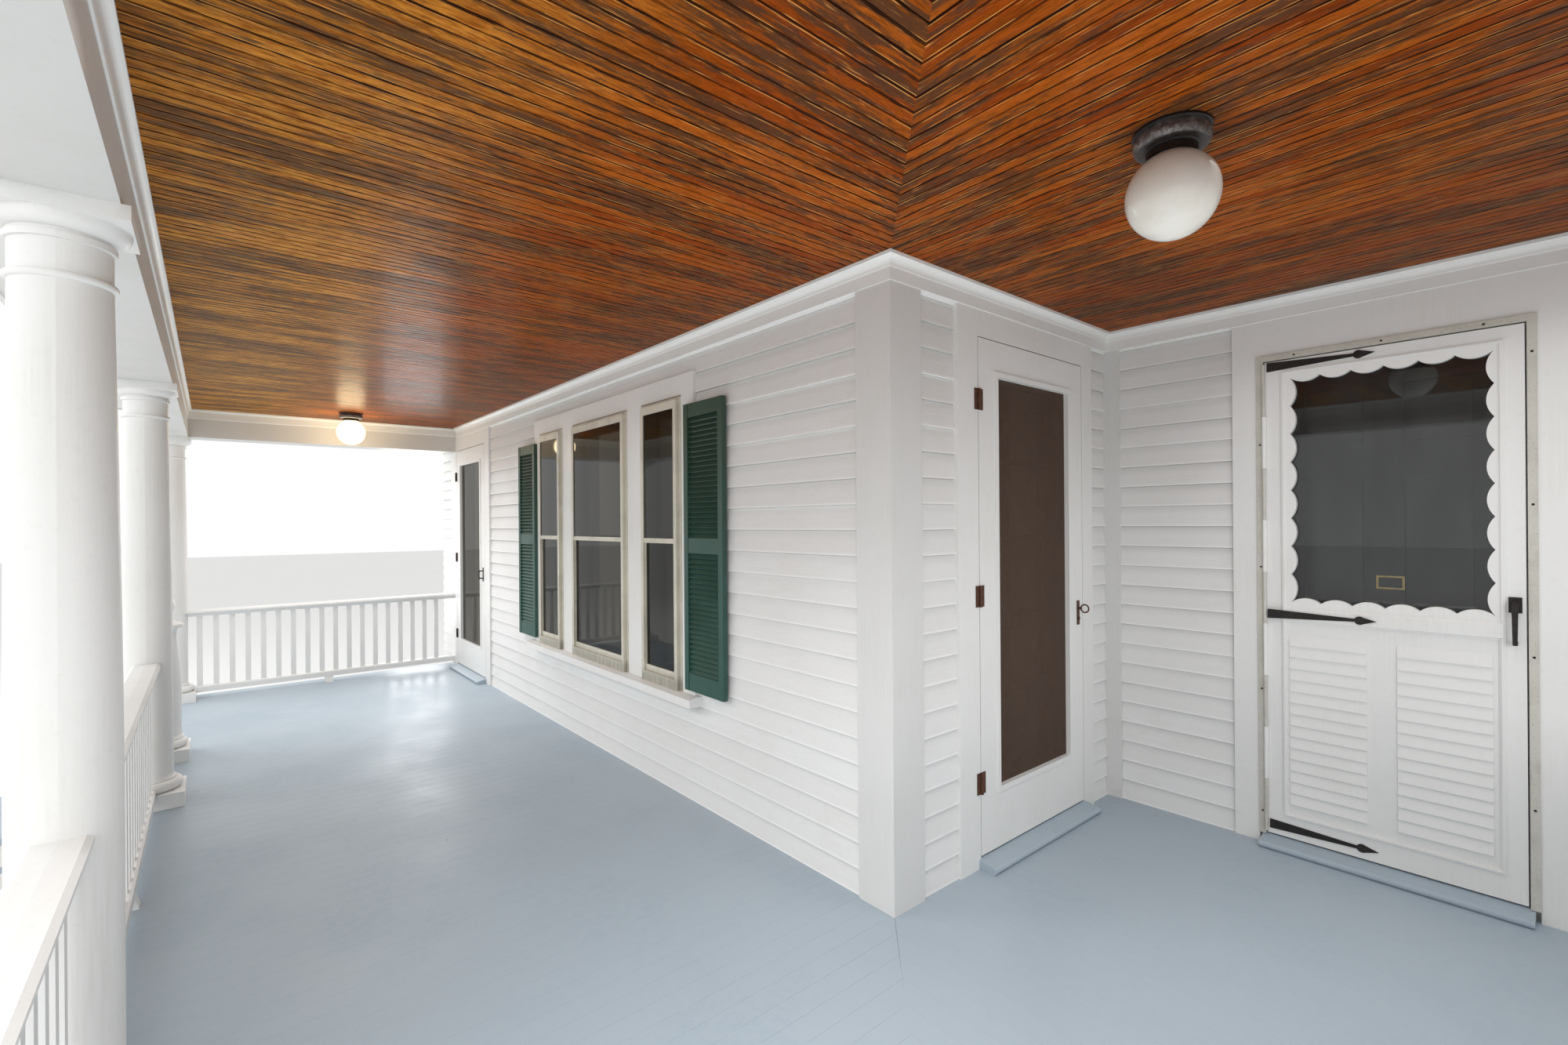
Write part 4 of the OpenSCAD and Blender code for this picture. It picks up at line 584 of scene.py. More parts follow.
def ceiling_varnish():
    new_material("varnished beadboard", Coat_Roughness=0.10,
                 Specular_IOR_Level=0.018, Specular_Tint=rgb(1.0, 0.78, 0.50))
    board_place = attribute("board_place", "Vector")
    room = parts_of(here())
    # Painted light: paler and more golden towards the outer edge, most of all far along the front.
    sunlit_part = times(between(room["X"], 0.5, -3.0, 0.55, 1.0), between(room["Y"], -1.0, -1.7))
    strips = over(parts_of(board_place)["X"], BEAD_PITCH)
    strip_tone = random_for(maths("FLOOR", plus(strips, 0.001)))
    grain = use(
        STAIN, Pale_stain=rgb(0.40, 0.098, 0.010), Red_stain=rgb(0.23, 0.036, 0.003),
        Bleached_stain=rgb(0.62, 0.295, 0.040), Dark_stain=rgb(0.060, 0.029, 0.014),
        Scratch=rgb(0.66, 0.28, 0.07), Board_place=board_place, Bleach=sunlit_part, Dark_share=0.55,
        Board_tone=blend_of((strip_tone, 0.5), (attribute("board_tone", "Fac"), 0.5)))
    beat = maths("FRACT", strips)
    to_joint = times(smaller(beat, minus(1.0, beat)), BEAD_PITCH)
    reach = between(drawn_noise(board_place, 60.0, 9.0, 1.0, 4.0, 0.65), 0.38, 0.70, 0.0018, 0.0060)
    at_joint = between(over(to_joint, reach), 0.6, 1.5, 1.0, 0.0)
    filled = between(drawn_noise(board_place, 24.0, 1.6, 1.0), 0.36, 0.60, 0.60, 1.0)
    colour = mixed(times(at_joint, filled), grain["Colour"], JOINT_DARK)
    # Painted highlight: a light line beside the joints, here and there, where light would catch a raised
    # edge.
    beside = between(maths("ABSOLUTE", minus(to_joint, EDGE_LINE)), 0.0004, 0.0018, 1.0, 0.0)
    glint_patches = noise(stretched(board_place, 33.0, 2.6, 1.0), 3.0, 4.0)
    colour = mixed(times(beside, between(glint_patches, 0.50, 0.62, 0.0, 0.75)), colour, EDGE_HIGHLIGHT)
    return dress(grain, Base_Color=colour, Coat_Weight=times(grain["Varnish"], STRONGEST_VARNISH),
                 Normal=bumped(grain["Height"], RIPPLE_DEPTH, 0.9))


varnished_beadboard = ceiling_varnish()
print("ceiling strips of", BEAD_PITCH, "m")

# %% [markdown]
# The two doors behind the outer ones are plainer: a brown stained glazed one, and a panelled one in
# dark paint. Their boards stand upright, so the place on the board is made from the object's own
# coordinates, turned so that the grain runs up.

# %% Stain and paint the inner doors
def upright_page():
    """A flat page for walls and doors: the distance along them, whichever way they run, and the height."""
    parts = parts_of(here())
    return vector_of(X=plus(parts["X"], parts["Y"]), Y=parts["Z"])


def inner_stain():
    new_material("brown stained door", Coat_Weight=0.2, Coat_Roughness=0.2)
    grain = use(
        STAIN, Pale_stain=rgb(0.34, 0.17, 0.075), Red_stain=rgb(0.24, 0.11, 0.05),
        Bleached_stain=rgb(0.34, 0.17, 0.075), Dark_stain=rgb(0.07, 0.035, 0.02),
        Scratch=rgb(0.40, 0.24, 0.12), Board_place=upright_page(), Board_tone=0.4, Bleach=0.0,
        Dark_share=0.35)
    return dress(grain, Normal=bumped(grain["Height"], 0.0006, 0.6))


def dark_door_paint():
    new_material("dark panelled door paint")
    return dress(film_of(rgb(0.030, 0.032, 0.035), rgb(0.040, 0.041, 0.043), rgb(0.055, 0.052, 0.05),
                         UPRIGHT_STROKES, gloss=0.35, ridge_depth=0.0001, dust_amount=0.1))


brown_stained = inner_stain()
dark_panelled = dark_door_paint()
print("inner doors ready")

# %% [markdown]
# ## Metal, timber, glass and mesh
#
# The storm windows and the storm door's frame are beige enamelled aluminium, chalky with age. The windows
# are darker and greyer on their bottom rails, and have a dark line of painted shadow along their tops. The
# shutters are dark green. Hinges and straps are black or brown iron with a little rust on them. All start
# from the same weathering group: a patchy mask, a fine speckle, and a low bump. The timber under the floor
# uses it too. What is particular to one piece, such as paint on its outer faces, goes over the group's
# colour.

# %% Build the weathering group
def build_weathering():
    tree, given, result = shader_group(
        "weathered metal", {"Colour": "Color", "Roughness": "Float", "Height": "Float"},
        Clean=rgb(0.5, 0.5, 0.5), Worn=rgb(0.4, 0.4, 0.4), Speck=rgb(0.2, 0.2, 0.2),
        Patch_size=6.0, Speck_amount=0.2, Smoothness=0.45)
    place = here()
    patches = noise(place, given["Patch size"], 5.0, 0.65)
    specks = noise(place, 160.0, 3.0, 0.6)
    runs = drawn_noise(place, 55.0, 55.0, 3.0)
    worn = times(between(patches, 0.40, 0.65), between(runs, 0.3, 0.7, 0.4, 1.0))
    colour = mixed(worn, given["Clean"], given["Worn"])
    speck = times(between(specks, 0.58, 0.72), given["Speck amount"])
    fill(result, {
        "Colour": mixed(speck, colour, given["Speck"]),
        "Roughness": plus(given["Smoothness"], times(worn, 0.18)),
        "Height": plus(times(patches, 0.4), times(specks, 0.6)),
    })
    return tree


WEATHERING = build_weathering()


def weathered(name, colours, patch_size, speck_amount, smoothness, depth, finish=None, **constants):
    """A worn surface in three colours: clean, worn and speck. The finish goes over its colour."""
    new_material(name, **constants)
    clean, worn, speck = (rgb(*colour) for colour in colours)
    skin = use(WEATHERING, Clean=clean, Worn=worn, Speck=speck, Patch_size=patch_size,
               Speck_amount=speck_amount, Smoothness=smoothness)
    colour = finish(skin["Colour"]) if finish else skin["Colour"]
    return dress(skin, Base_Color=colour, Normal=bumped(skin["Height"], depth, 0.6))


print("weathering group:", len(WEATHERING.nodes), "nodes")

# %% [markdown]
# Each worn surface is one line of a table: its three colours, how large its patches are, how many
# specks it has, how smooth it is and how deep its bumps go. Four of them have a finish besides, which
# depends on the height or the side of a point.

# %% Weather the metal and the timber
RAIL_FOOT, RAIL_TOP = 0.03, 0.09
TOP_SHADOW_FOOT, TOP_SHADOW_TOP = 0.008, 0.005
LOWER_PART = 0.4
PAINTED_SKIN = 0.002
BAND_TOP = CEILING_Z - 0.010
BAND_FOOT = CEILING_Z - 0.044
EDGE = 0.002


def dark_rails_and_top_shadow(colour):
    """Darker and greyer in streaks on the bottom rails, and a dark line along the top that is painted
    shadow.
    """
    place = here()
    height = parts_of(place)["Z"]
    low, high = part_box("storm_windows")
    runs = drawn_noise(place, 40.0, 40.0, 4.0)
    darker_low = times(between(height, low[2] + RAIL_FOOT, low[2] + RAIL_TOP, 0.75, 0.0),
                  between(runs, 0.3, 0.6, 0.5, 1.0))
    # Painted shadow: a dark line along the top of each storm window.
    top_shadow = between(height, high[2] - TOP_SHADOW_FOOT, high[2] - TOP_SHADOW_TOP, 0.0, 0.8)
    return mixed(top_shadow, mixed(darker_low, colour, rgb(0.25, 0.235, 0.20)), rgb(0.13, 0.115, 0.085))


def browner_top(colour):
    """Green that is browner and darker high up, and bluer below."""
    low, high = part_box("window_shutters")
    browner = between(parts_of(here())["Z"], low[2] + LOWER_PART, high[2], 0.0, 0.55)
    return mixed(browner, colour, rgb(0.034, 0.050, 0.026))


def painted_outside(colour):
    """White paint on the outer faces that show, over bare timber."""
    place = here()
    low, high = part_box("frame_front")
    parts = parts_of(place)
    in_front = maths("LESS_THAN", parts["Y"], low[1] + PAINTED_SKIN)
    at_end = maths("LESS_THAN", parts["X"], low[0] + PAINTED_SKIN)
    at_side = maths("GREATER_THAN", parts["X"], high[0] - PAINTED_SKIN)
    streaks = drawn_noise(place, 3.0, 3.0, 40.0)
    paint = mixed(between(streaks, 0.4, 0.75), rgb(*WHITE), rgb(0.62, 0.61, 0.57))
    return mixed(larger(in_front, larger(at_end, at_side)), colour, paint)


def worn_band(colour):
    """Nearly black where it meets the ceiling and at the rim, and bare metal on the band between."""
    height = parts_of(here())["Z"]
    under_top = between(height, BAND_TOP - EDGE, BAND_TOP + EDGE, 1.0, 0.0)
    over_foot = between(height, BAND_FOOT - EDGE, BAND_FOOT + EDGE)
    return mixed(times(under_top, over_foot), rgb(0.022, 0.016, 0.014), colour)


channel_enamel = weathered(
    "pale enamelled door channel", [(0.59, 0.575, 0.52), (0.49, 0.475, 0.42), (0.14, 0.12, 0.09)],
    patch_size=9.0, speck_amount=0.50, smoothness=0.36, depth=0.0002, Specular_IOR_Level=0.6)
beige_enamel = weathered(
    "beige enamelled aluminium", [(0.66, 0.63, 0.53), (0.52, 0.495, 0.42), (0.22, 0.20, 0.16)],
    patch_size=5.0, speck_amount=0.40, smoothness=0.38, depth=0.0002, finish=dark_rails_and_top_shadow,
    Specular_IOR_Level=0.6)
green_paint = weathered(
    "dark green shutter paint", [(0.022, 0.078, 0.060), (0.036, 0.105, 0.085), (0.010, 0.032, 0.024)],
    patch_size=9.0, speck_amount=0.5, smoothness=0.40, depth=0.0003, finish=browner_top)
black_iron = weathered(
    "black iron", [(0.020, 0.018, 0.018), (0.040, 0.032, 0.028), (0.10, 0.05, 0.03)],
    patch_size=30.0, speck_amount=0.35, smoothness=0.42, depth=0.0006, Metallic=0.4)
brown_iron = weathered(
    "brown rusted iron", [(0.110, 0.045, 0.025), (0.070, 0.032, 0.022), (0.26, 0.10, 0.04)],
    patch_size=45.0, speck_amount=0.6, smoothness=0.5, depth=0.0006, Metallic=0.3)
framing = weathered(
    "floor framing painted outside", [(0.42, 0.34, 0.25), (0.33, 0.27, 0.20), (0.16, 0.12, 0.09)],
    patch_size=7.0, speck_amount=0.4, smoothness=0.72, depth=0.0008, finish=painted_outside)
fitter_iron = weathered(
    "dark cast fitter", [(0.120, 0.110, 0.105), (0.300, 0.290, 0.285), (0.52, 0.50, 0.48)],
    patch_size=70.0, speck_amount=0.5, smoothness=0.30, depth=0.0008, finish=worn_band, Metallic=0.6)
brass = weathered(
    "dull brass", [(0.58, 0.40, 0.16), (0.36, 0.24, 0.11), (0.16, 0.10, 0.05)],
    patch_size=60.0, speck_amount=0.4, smoothness=0.28, depth=0.0002, Metallic=0.85)
print("metals and plain timber ready")

# %% [markdown]
# Glass in the doors and windows is dark, because the rooms behind it are. A house has no rooms here,
# so the glass itself is tinted: it lets little light through and keeps clear reflections. The storm
# door is different. It has a real dark door close behind it, so its glass is clear.
#
# A fly screen is a mesh too fine to see from a step away. It darkens what is behind it and shows a
# faint weave, so it is a thin sheet that is partly see-through.

# %% Make glass, mesh and the opal globes
STREAK_TONE = 0.86


def pane_glass(name, tint, ior, smeared=0.05):
    new_material(name, Transmission_Weight=1.0, IOR=ior, Metallic=0.0)
    place = here()
    smear = between(noise(place, 4.0, 4.0), 0.35, 0.8, smeared / 4, smeared)
    streak = drawn_noise(place, 9.0, 9.0, 2.0, 2.0)
    colour = mixed(between(streak, 0.3, 0.7), rgb(*tint), rgb(*(STREAK_TONE * part for part in tint)))
    return dress(Base_Color=colour, Roughness=smear, Normal=bumped(noise(place, 1.4, 0.0), 0.0006, 0.1))


dark_glass = pane_glass("window glass against dark rooms", (0.045, 0.042, 0.034), ior=1.34)
far_glass = pane_glass("window glass of the far door", (0.060, 0.055, 0.030), ior=1.17)
clear_glass = pane_glass("clear storm glass", (0.88, 0.91, 0.90), ior=1.45, smeared=0.002)


def fly_mesh():
    new_material("brown fly screen", Roughness=0.75)
    place = here()
    weave = add("ShaderNodeTexWave", Vector=place, Scale=240.0, Distortion=0.4,
                wave_type="BANDS", bands_direction="Y").outputs["Fac"]
    uneven = noise(place, 5.0)
    colour = mixed(uneven, rgb(0.112, 0.064, 0.042), rgb(0.072, 0.046, 0.034))
    cover = plus(times(weave, 0.10), between(uneven, 0.3, 0.7, 0.60, 0.68))
    return dress(Base_Color=colour, Alpha=cover, Normal=bumped(weave, 0.0003, 0.4))


brown_screen = fly_mesh()
LIT_LEFT_OF = -3.0
FULL_GLOW = 10.0
SEEN_SHARE = 0.22


def opal_globes():
    """Milky glass. The far globe is lit, and glows less strongly to the eye than on the ceiling."""
    new_material("opal globes", Roughness=0.14, IOR=1.5, Emission_Strength=FULL_GLOW,
                 Coat_Weight=0.4, Coat_Roughness=0.04)
    place = here()
    cloud = noise(place, 14.0)
    colour = mixed(between(cloud, 0.35, 0.7), rgb(0.72, 0.70, 0.65), rgb(0.68, 0.65, 0.585))
    lit = between(parts_of(place)["X"], LIT_LEFT_OF - 0.1, LIT_LEFT_OF + 0.1, 1.0, 0.0)
    to_camera = add("ShaderNodeLightPath").outputs["Is Camera Ray"]
    toned_down = between(to_camera, 0.0, 1.0, 1.0, SEEN_SHARE)
    glow = mixed(times(lit, toned_down), rgb(0.0, 0.0, 0.0), rgb(1.0, 0.80, 0.48))
    return dress(Base_Color=colour, Emission_Color=glow)


opal = opal_globes()
print("glass, screen and globes ready")

# %% [markdown]
# ## Masonry and roofing
#
# Piers and foundation are old grey-brown brickwork, and the roof has dark shingles with a coat of
# mineral grit. The piers get real bricks further on. The foundation is mostly hidden, so its courses
# are drawn in its material: the Brick Texture works on the same flat page as the doors' grain.

# %% Make masonry and shingle finishes
BRICK_LENGTH = 0.2
COURSE_HEIGHT = 0.0645


def brick_colours(place):
    mottled = noise(place, 60.0, 4.0, 0.7)
    body = mixed(between(mottled, 0.3, 0.7), rgb(0.30, 0.155, 0.105), rgb(0.36, 0.21, 0.15))
    return body, mottled


def brick_face():
    new_material("fired brick", Roughness=0.85)
    body, mottled = brick_colours(here())
    tone = between(attribute("board_tone", "Fac"), 0.0, 1.0, 0.0, 0.55)
    return dress(Base_Color=mixed(tone, body, rgb(0.22, 0.12, 0.09)), Normal=bumped(mottled, 0.0012, 0.8))


def mortar():
    new_material("lime mortar", Roughness=0.92)
    grit = noise(here(), 240.0)
    colour = mixed(grit, rgb(0.42, 0.40, 0.36), rgb(0.30, 0.285, 0.26))
    return dress(Base_Color=colour, Normal=bumped(grit, 0.001, 0.7))


def coursed_brickwork():
    new_material("coursed brickwork", Roughness=0.88)
    body, mottled = brick_colours(here())
    bricks = add("ShaderNodeTexBrick", Vector=upright_page(), Color1=body, Color2=rgb(0.25, 0.135, 0.10),
                 Mortar=rgb(0.38, 0.36, 0.33), Scale=1.0, Mortar_Size=0.005, Mortar_Smooth=0.2,
                 Brick_Width=BRICK_LENGTH, Row_Height=COURSE_HEIGHT).outputs
    relief = minus(times(mottled, 0.25), bricks["Fac"])
    return dress(Base_Color=bricks["Color"], Normal=bumped(relief, 0.004, 0.8))


def shingle_grit():
    new_material("gritted shingles", Roughness=0.93)
    place = here()
    grit = noise(place, 420.0, 2.0, 0.7)
    fade = noise(place, 1.6, 4.0)
    colour = mixed(attribute("board_tone", "Fac"), rgb(0.070, 0.070, 0.075), rgb(0.145, 0.142, 0.145))
    colour = mixed(between(grit, 0.35, 0.7, 0.0, 0.6), colour, rgb(0.21, 0.205, 0.20))
    colour = mixed(between(fade, 0.45, 0.75, 0.0, 0.35), colour, rgb(0.16, 0.155, 0.14))
    return dress(Base_Color=colour, Normal=bumped(grit, 0.0012, 0.9))


fired_brick = brick_face()
lime_mortar = mortar()
brickwork = coursed_brickwork()
gritted_shingles = shingle_grit()
print("bricks of", BRICK_LENGTH, "by", COURSE_HEIGHT, "m")

# %% [markdown]
# ## Finish for every piece of the frame
#
# The record that comes with the frame says which kind of finish each piece has. One table turns those
# kinds into the materials above, and a second one holds the few pieces that differ from their kind,
# such as the crown, which is brushed level.

# %% Give the frame its finishes
FINISHES = {
    "masonry": brickwork, "frame_timber": framing, "floor_paint": deck_paint,
    "white_trim": upright_white, "white_wall": white_clapboards, "ceiling_stain": varnished_beadboard,
    "roofing": gritted_shingles, "pale_metal": beige_enamel, "window_glass": dark_glass,
    "shutter_green": green_paint, "dark_iron": black_iron, "brown_iron": brown_iron,
    "fly_screen": brown_screen, "inner_stain": brown_stained, "dark_door": dark_panelled,
    "fitter_iron": fitter_iron, "globe_glass": opal,
}
SPECIAL = {
    "porch_beam": beam_white, "corner_boards": corner_white_shaded, "ceiling_crown": level_white,
    "eave_cornice": level_white, "door_c_glass": clear_glass, "door_a_glass": far_glass,
    "storm_frame": channel_enamel, "front_steps": painted_steps,
}
for part in frame["record"]["subparts"]:
    finish = SPECIAL.get(part["node"], FINISHES[part["material_slot"]])
    node = frame["nodes"][part["node"]]
    node.data.materials.clear()
    node.data.materials.append(finish)

# %% [markdown]
# ## A bench for Geometry Nodes
#
# Boards, shingles and screws are each one shape laid many times by a rule, which is what Geometry
# Nodes are for. Each tree below is built from named inputs. It is put on an empty object, its inputs
# are set, and the shape that comes out is kept as a plain mesh, so nothing is left to be worked out
# later.

# %% Helpers to run a tree
def geometry_tree(name, **kinds):
    """Opens a geometry tree with one geometry output. Its inputs are listed under their kinds."""
    tree = Bench.tree = bpy.data.node_groups.new(name, "GeometryNodeTree")
    tree.interface.new_socket("Geometry", in_out="OUTPUT", socket_type="NodeSocketGeometry")
    for kind, labels in kinds.items():
        for label in labels.split(", "):
            tree.interface.new_socket(label, in_out="INPUT", socket_type="NodeSocket" + kind)
    return tree, add("NodeGroupInput").outputs, add("NodeGroupOutput").inputs


def shape(kind, **named):
    """Adds a geometry node, and gives the shape it makes."""
    return add("GeometryNode" + kind, **named).outputs[0]


def position():
    return add("GeometryNodeInputPosition").outputs[0]


def random_between(seed, low=0.0, high=1.0):
    """A random number for each thing that is laid, between the lowest and the highest."""
    return add("FunctionNodeRandomValue", {2: low, 3: high}, Seed=seed, data_type="FLOAT").outputs["Value"]


def stored(geometry, name, value, data_type, domain):
    """Writes a value on the mesh, for a material to read."""
    return shape("StoreNamedAttribute", Geometry=geometry, data_type=data_type, domain=domain,
                 **{"Name": name, "Value": value})


def laid(points, item, seed=None, **placing):
    """Lays the object at each point as real mesh. With a seed, each one gets a random tone."""
    item = add("GeometryNodeObjectInfo", Object=item).outputs["Geometry"]
    instances = shape("InstanceOnPoints", Points=points, Instance=item, **placing)
    if seed is not None:
        instances = stored(instances, "board_tone", random_between(seed), "FLOAT", "INSTANCE")
    return shape("RealizeInstances", Geometry=instances)


def finished(tree, given, result, geometry):
    """Gives what was made its material, and ends the tree there."""
    fill(result, {0: shape("SetMaterial", Geometry=geometry, Material=given["Finish"])})
    return tree


def grow(name, tree, **values):
    """Runs a tree with its inputs set by identifier, and keeps the result as a plain mesh at the origin."""
    piece = bpy.data.objects.new(name, bpy.data.meshes.new(name))
    bpy.context.collection.objects.link(piece)
    modifier = piece.modifiers.new("layout", "NODES")
    modifier.node_group = tree
    for item in tree.interface.items_tree:
        if item.in_out == "INPUT":
            modifier[item.identifier] = values[item.name.replace(" ", "_")]
    bpy.context.view_layer.update()
    grown = piece.evaluated_get(bpy.context.evaluated_depsgraph_get())
    mesh = bpy.data.meshes.new_from_object(grown)
    piece.modifiers.clear()
    piece.data = mesh
    mesh.name = name
    print(name, "has", len(mesh.polygons), "faces")
    return piece


def solid(name, points, faces):
    """A small mesh object, to be laid many times by a tree or to be a piece itself."""
    mesh = bpy.data.meshes.new(name)
    mesh.from_pydata(points, [], faces)
    item = bpy.data.objects.new(name, mesh)
    bpy.context.collection.objects.link(item)
    return item


def ring_faces(rings, sides, start=0, clockwise=False):
    """Faces between rings of points and over both ends. Seen from the last ring, they run anticlockwise."""
    faces = [tuple(range(start + sides - 1, start - 1, -1))]
    for first in range(start, start + (rings - 1) * sides, sides):
        for side in range(sides):
            other = (side + 1) % sides
            corners = (first + side, first + other, first + sides + other, first + sides + side)
            faces.append((corners[0], *corners[:0:-1]) if clockwise else corners)
    last = start + (rings - 1) * sides
    faces.append(tuple(range(last, last + sides)))
    if clockwise:
        faces[0], faces[-1] = faces[0][::-1], faces[-1][::-1]
    return faces


def done_with(*items):
    """Deletes the objects that trees laid out."""
    for item in items:
        bpy.data.objects.remove(item)


print("bench ready")

# %% [markdown]
# ## Boards cut to a mitre
#
# Floor and ceiling are laid the same way. In the front leg the boards run from the outer edge to the
# house, in the side leg they do too, and where the legs meet both are cut on the diagonal, so that the
# joints form chevrons. The rule is short: a board starts at the outer edge, and ends at the house wall
# or on the diagonal, whichever comes first.
#
# The tree lays one board of unit length after another. Each point is then moved: its distance along
# the board is scaled to the board's own length, which for a point at a given distance across is set by
# the diagonal. Points before the start belong to the rounded nose, and keep their size. The side leg
# is the same tree with its diagonal leaning the other way, turned by a quarter.

# %% Build the board tree
SHORTEST_BOARD = 0.0006


def build_board_tree():
    tree, given, result = geometry_tree(
        "boards cut to a mitre", Object="Board", Int="Count, Seed", Material="Finish",
        Float="Pitch, First edge, Last edge, First board, Outer edge, Lean, Turn")
    start = vector_of(X=given["First board"])
    line = shape("MeshLine", Count=given["Count"], Start_Location=start,
                 Offset=vector_of(X=given["Pitch"]), mode="OFFSET")
    real = laid(line, given["Board"], given["Seed"])
    place = parts_of(position())
    across = smaller(larger(place["X"], given["First edge"]), given["Last edge"])
    far_end = smaller(0.0, times(across, given["Lean"]))
    length = larger(minus(far_end, given["Outer edge"]), SHORTEST_BOARD)
    nose = smaller(place["Y"], 0.0)
    body = times(larger(place["Y"], 0.0), length)
    along = plus(given["Outer edge"], plus(nose, body))
    cut = shape("SetPosition", Geometry=real, Position=vector_of(X=across, Y=along, Z=place["Z"]))
    from_first = add("ShaderNodeVectorMath", {0: position(), 1: start}, operation="SUBTRACT").outputs[0]
    marked = stored(cut, "board_place", from_first, "FLOAT_VECTOR", "POINT")
    turned = shape("Transform", Geometry=marked, Rotation=vector_of(Z=given["Turn"]))
    return finished(tree, given, result, turned)


BOARD_TREE = build_board_tree()
print("board tree:", len(BOARD_TREE.nodes), "nodes")

# %% [markdown]
# The ceiling board has a groove at each edge and a rounded bead between two fine grooves along its
# middle, so that from below every board looks like two narrow ones. Its outline is given as distances
# across and heights above the face, which is drawn out along the board.

# %% Lay the ceiling
BEADBOARD = 2 * BEAD_PITCH
JOINT = 0.0006
BEVEL = 0.0022
GROOVE = 0.0032
BEAD_SIDES = [(0.0038, 0.0), (0.0028, 0.0026), (0.0018, 0.0006)]
board_depth = ceiling_high[2] - CEILING_Z
outline = [
    (JOINT, GROOVE), (BEVEL, 0.0), *((BEAD_PITCH - out, up) for out, up in BEAD_SIDES),
    (BEAD_PITCH, 0.0), *((BEAD_PITCH + out, up) for out, up in reversed(BEAD_SIDES)),
    (BEADBOARD - BEVEL, 0.0), (BEADBOARD - JOINT, GROOVE),
    (BEADBOARD - JOINT, board_depth), (JOINT, board_depth),
]
points = [(across, along, CEILING_Z + up) for along in (0.0, 1.0) for across, up in outline]
beadboard = solid("beadboard", points, ring_faces(2, len(outline), clockwise=True))


def boarding(name, board, pitch, edges, outer, lean, turn, seed, finish):
    """Boards from the first to the last edge of a leg, counted back from the diagonal's outer end."""
    first, last = edges
    count = math.ceil((last - first) / pitch)
    return grow(name, BOARD_TREE, Board=board, Count=count, Pitch=pitch, First_edge=first, Last_edge=last,
                First_board=last - count * pitch if lean < 0 else first, Outer_edge=outer, Lean=lean,
                Turn=turn, Seed=seed, Finish=finish)


FRONT_LEG = dict(lean=-1.0, turn=0.0)
SIDE_LEG = dict(lean=1.0, turn=math.pi / 2)
side_low, side_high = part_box("ceiling_side")
front_ceiling = boarding("ceiling_boards_front", beadboard, BEADBOARD, (ceiling_low[0], ceiling_high[0]),
                         ceiling_low[1], seed=4, finish=varnished_beadboard, **FRONT_LEG)
side_ceiling = boarding("ceiling_boards_side", beadboard, BEADBOARD, (side_low[1], side_high[1]),
                        -side_high[0], seed=9, finish=varnished_beadboard, **SIDE_LEG)
for piece, covered in ((front_ceiling, "ceiling_front"), (side_ceiling, "ceiling_side")):
    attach(piece, "porch")
    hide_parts(covered)
done_with(beadboard)

# %% [markdown]
# Floor boards are flat, with eased edges that the paint nearly fills, and a half-round nose at the
# outer end. The nose is a few outlines set closer and closer together and lower at each step, as a
# turned edge would be.

# %% Lay the floor
FLOORBOARD = 0.083
EASE = 0.0004
NOSE_ANGLES = (8, 30, 60, 90)
floor_low, floor_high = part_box("floor_front")
side_floor_low, side_floor_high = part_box("floor_side")
NOSE = (floor_high[2] - floor_low[2]) / 2


def nosed_board():
    """A floor board whose outer end is a half circle seen from the side."""
    middle = FLOOR_Z - NOSE
    turns = [math.radians(angle) for angle in NOSE_ANGLES]
    rings = [(-NOSE + NOSE * (1 - math.cos(turn)), math.sin(turn)) for turn in turns] + [(1.0, 1.0)]
    left, right = EASE / 3, FLOORBOARD - EASE / 3
    flat_left, flat_right = EASE * 1.6, FLOORBOARD - EASE * 1.6
    points = []
    for along, rise in rings:
        top = middle + NOSE * rise
        foot = middle - NOSE * rise
        shoulder = top - EASE * rise
        points += [(left, along, foot), (right, along, foot), (right, along, shoulder),
                   (flat_right, along, top), (flat_left, along, top), (left, along, shoulder)]
    return solid("floorboard", points, ring_faces(len(rings), 6, clockwise=True))


floorboard = nosed_board()
front_floor = boarding("floor_boards_front", floorboard, FLOORBOARD, (floor_low[0], -floor_low[1]),
                       floor_low[1] + NOSE, seed=21, finish=deck_paint, **FRONT_LEG)
side_floor = boarding("floor_boards_side", floorboard, FLOORBOARD, (side_floor_low[1], side_floor_high[1]),
                      -side_floor_high[0] + NOSE, seed=33, finish=deck_paint, **SIDE_LEG)
for piece, covered in ((front_floor, "floor_front"), (side_floor, "floor_side")):
    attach(piece, "porch")
    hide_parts(covered)
done_with(floorboard)

# %% [markdown]
# ## Shingles
#
# A low roof is shingled from the eaves up. Every course covers the head of the one below, and its
# joints are set half a shingle over from those below. At a hip the shingles are cut on the slope.
#
# The tree numbers the shingles, works out a course and a place in it from the number, drops those that
# lie past a hip, and lays the rest. A point that would reach past the hip is moved back onto it, which
# cuts the shingle. Last, each point is lifted by the slope of the roof.

# %% Build the shingle tree
WELD = 0.00002
SLIVER = 0.03


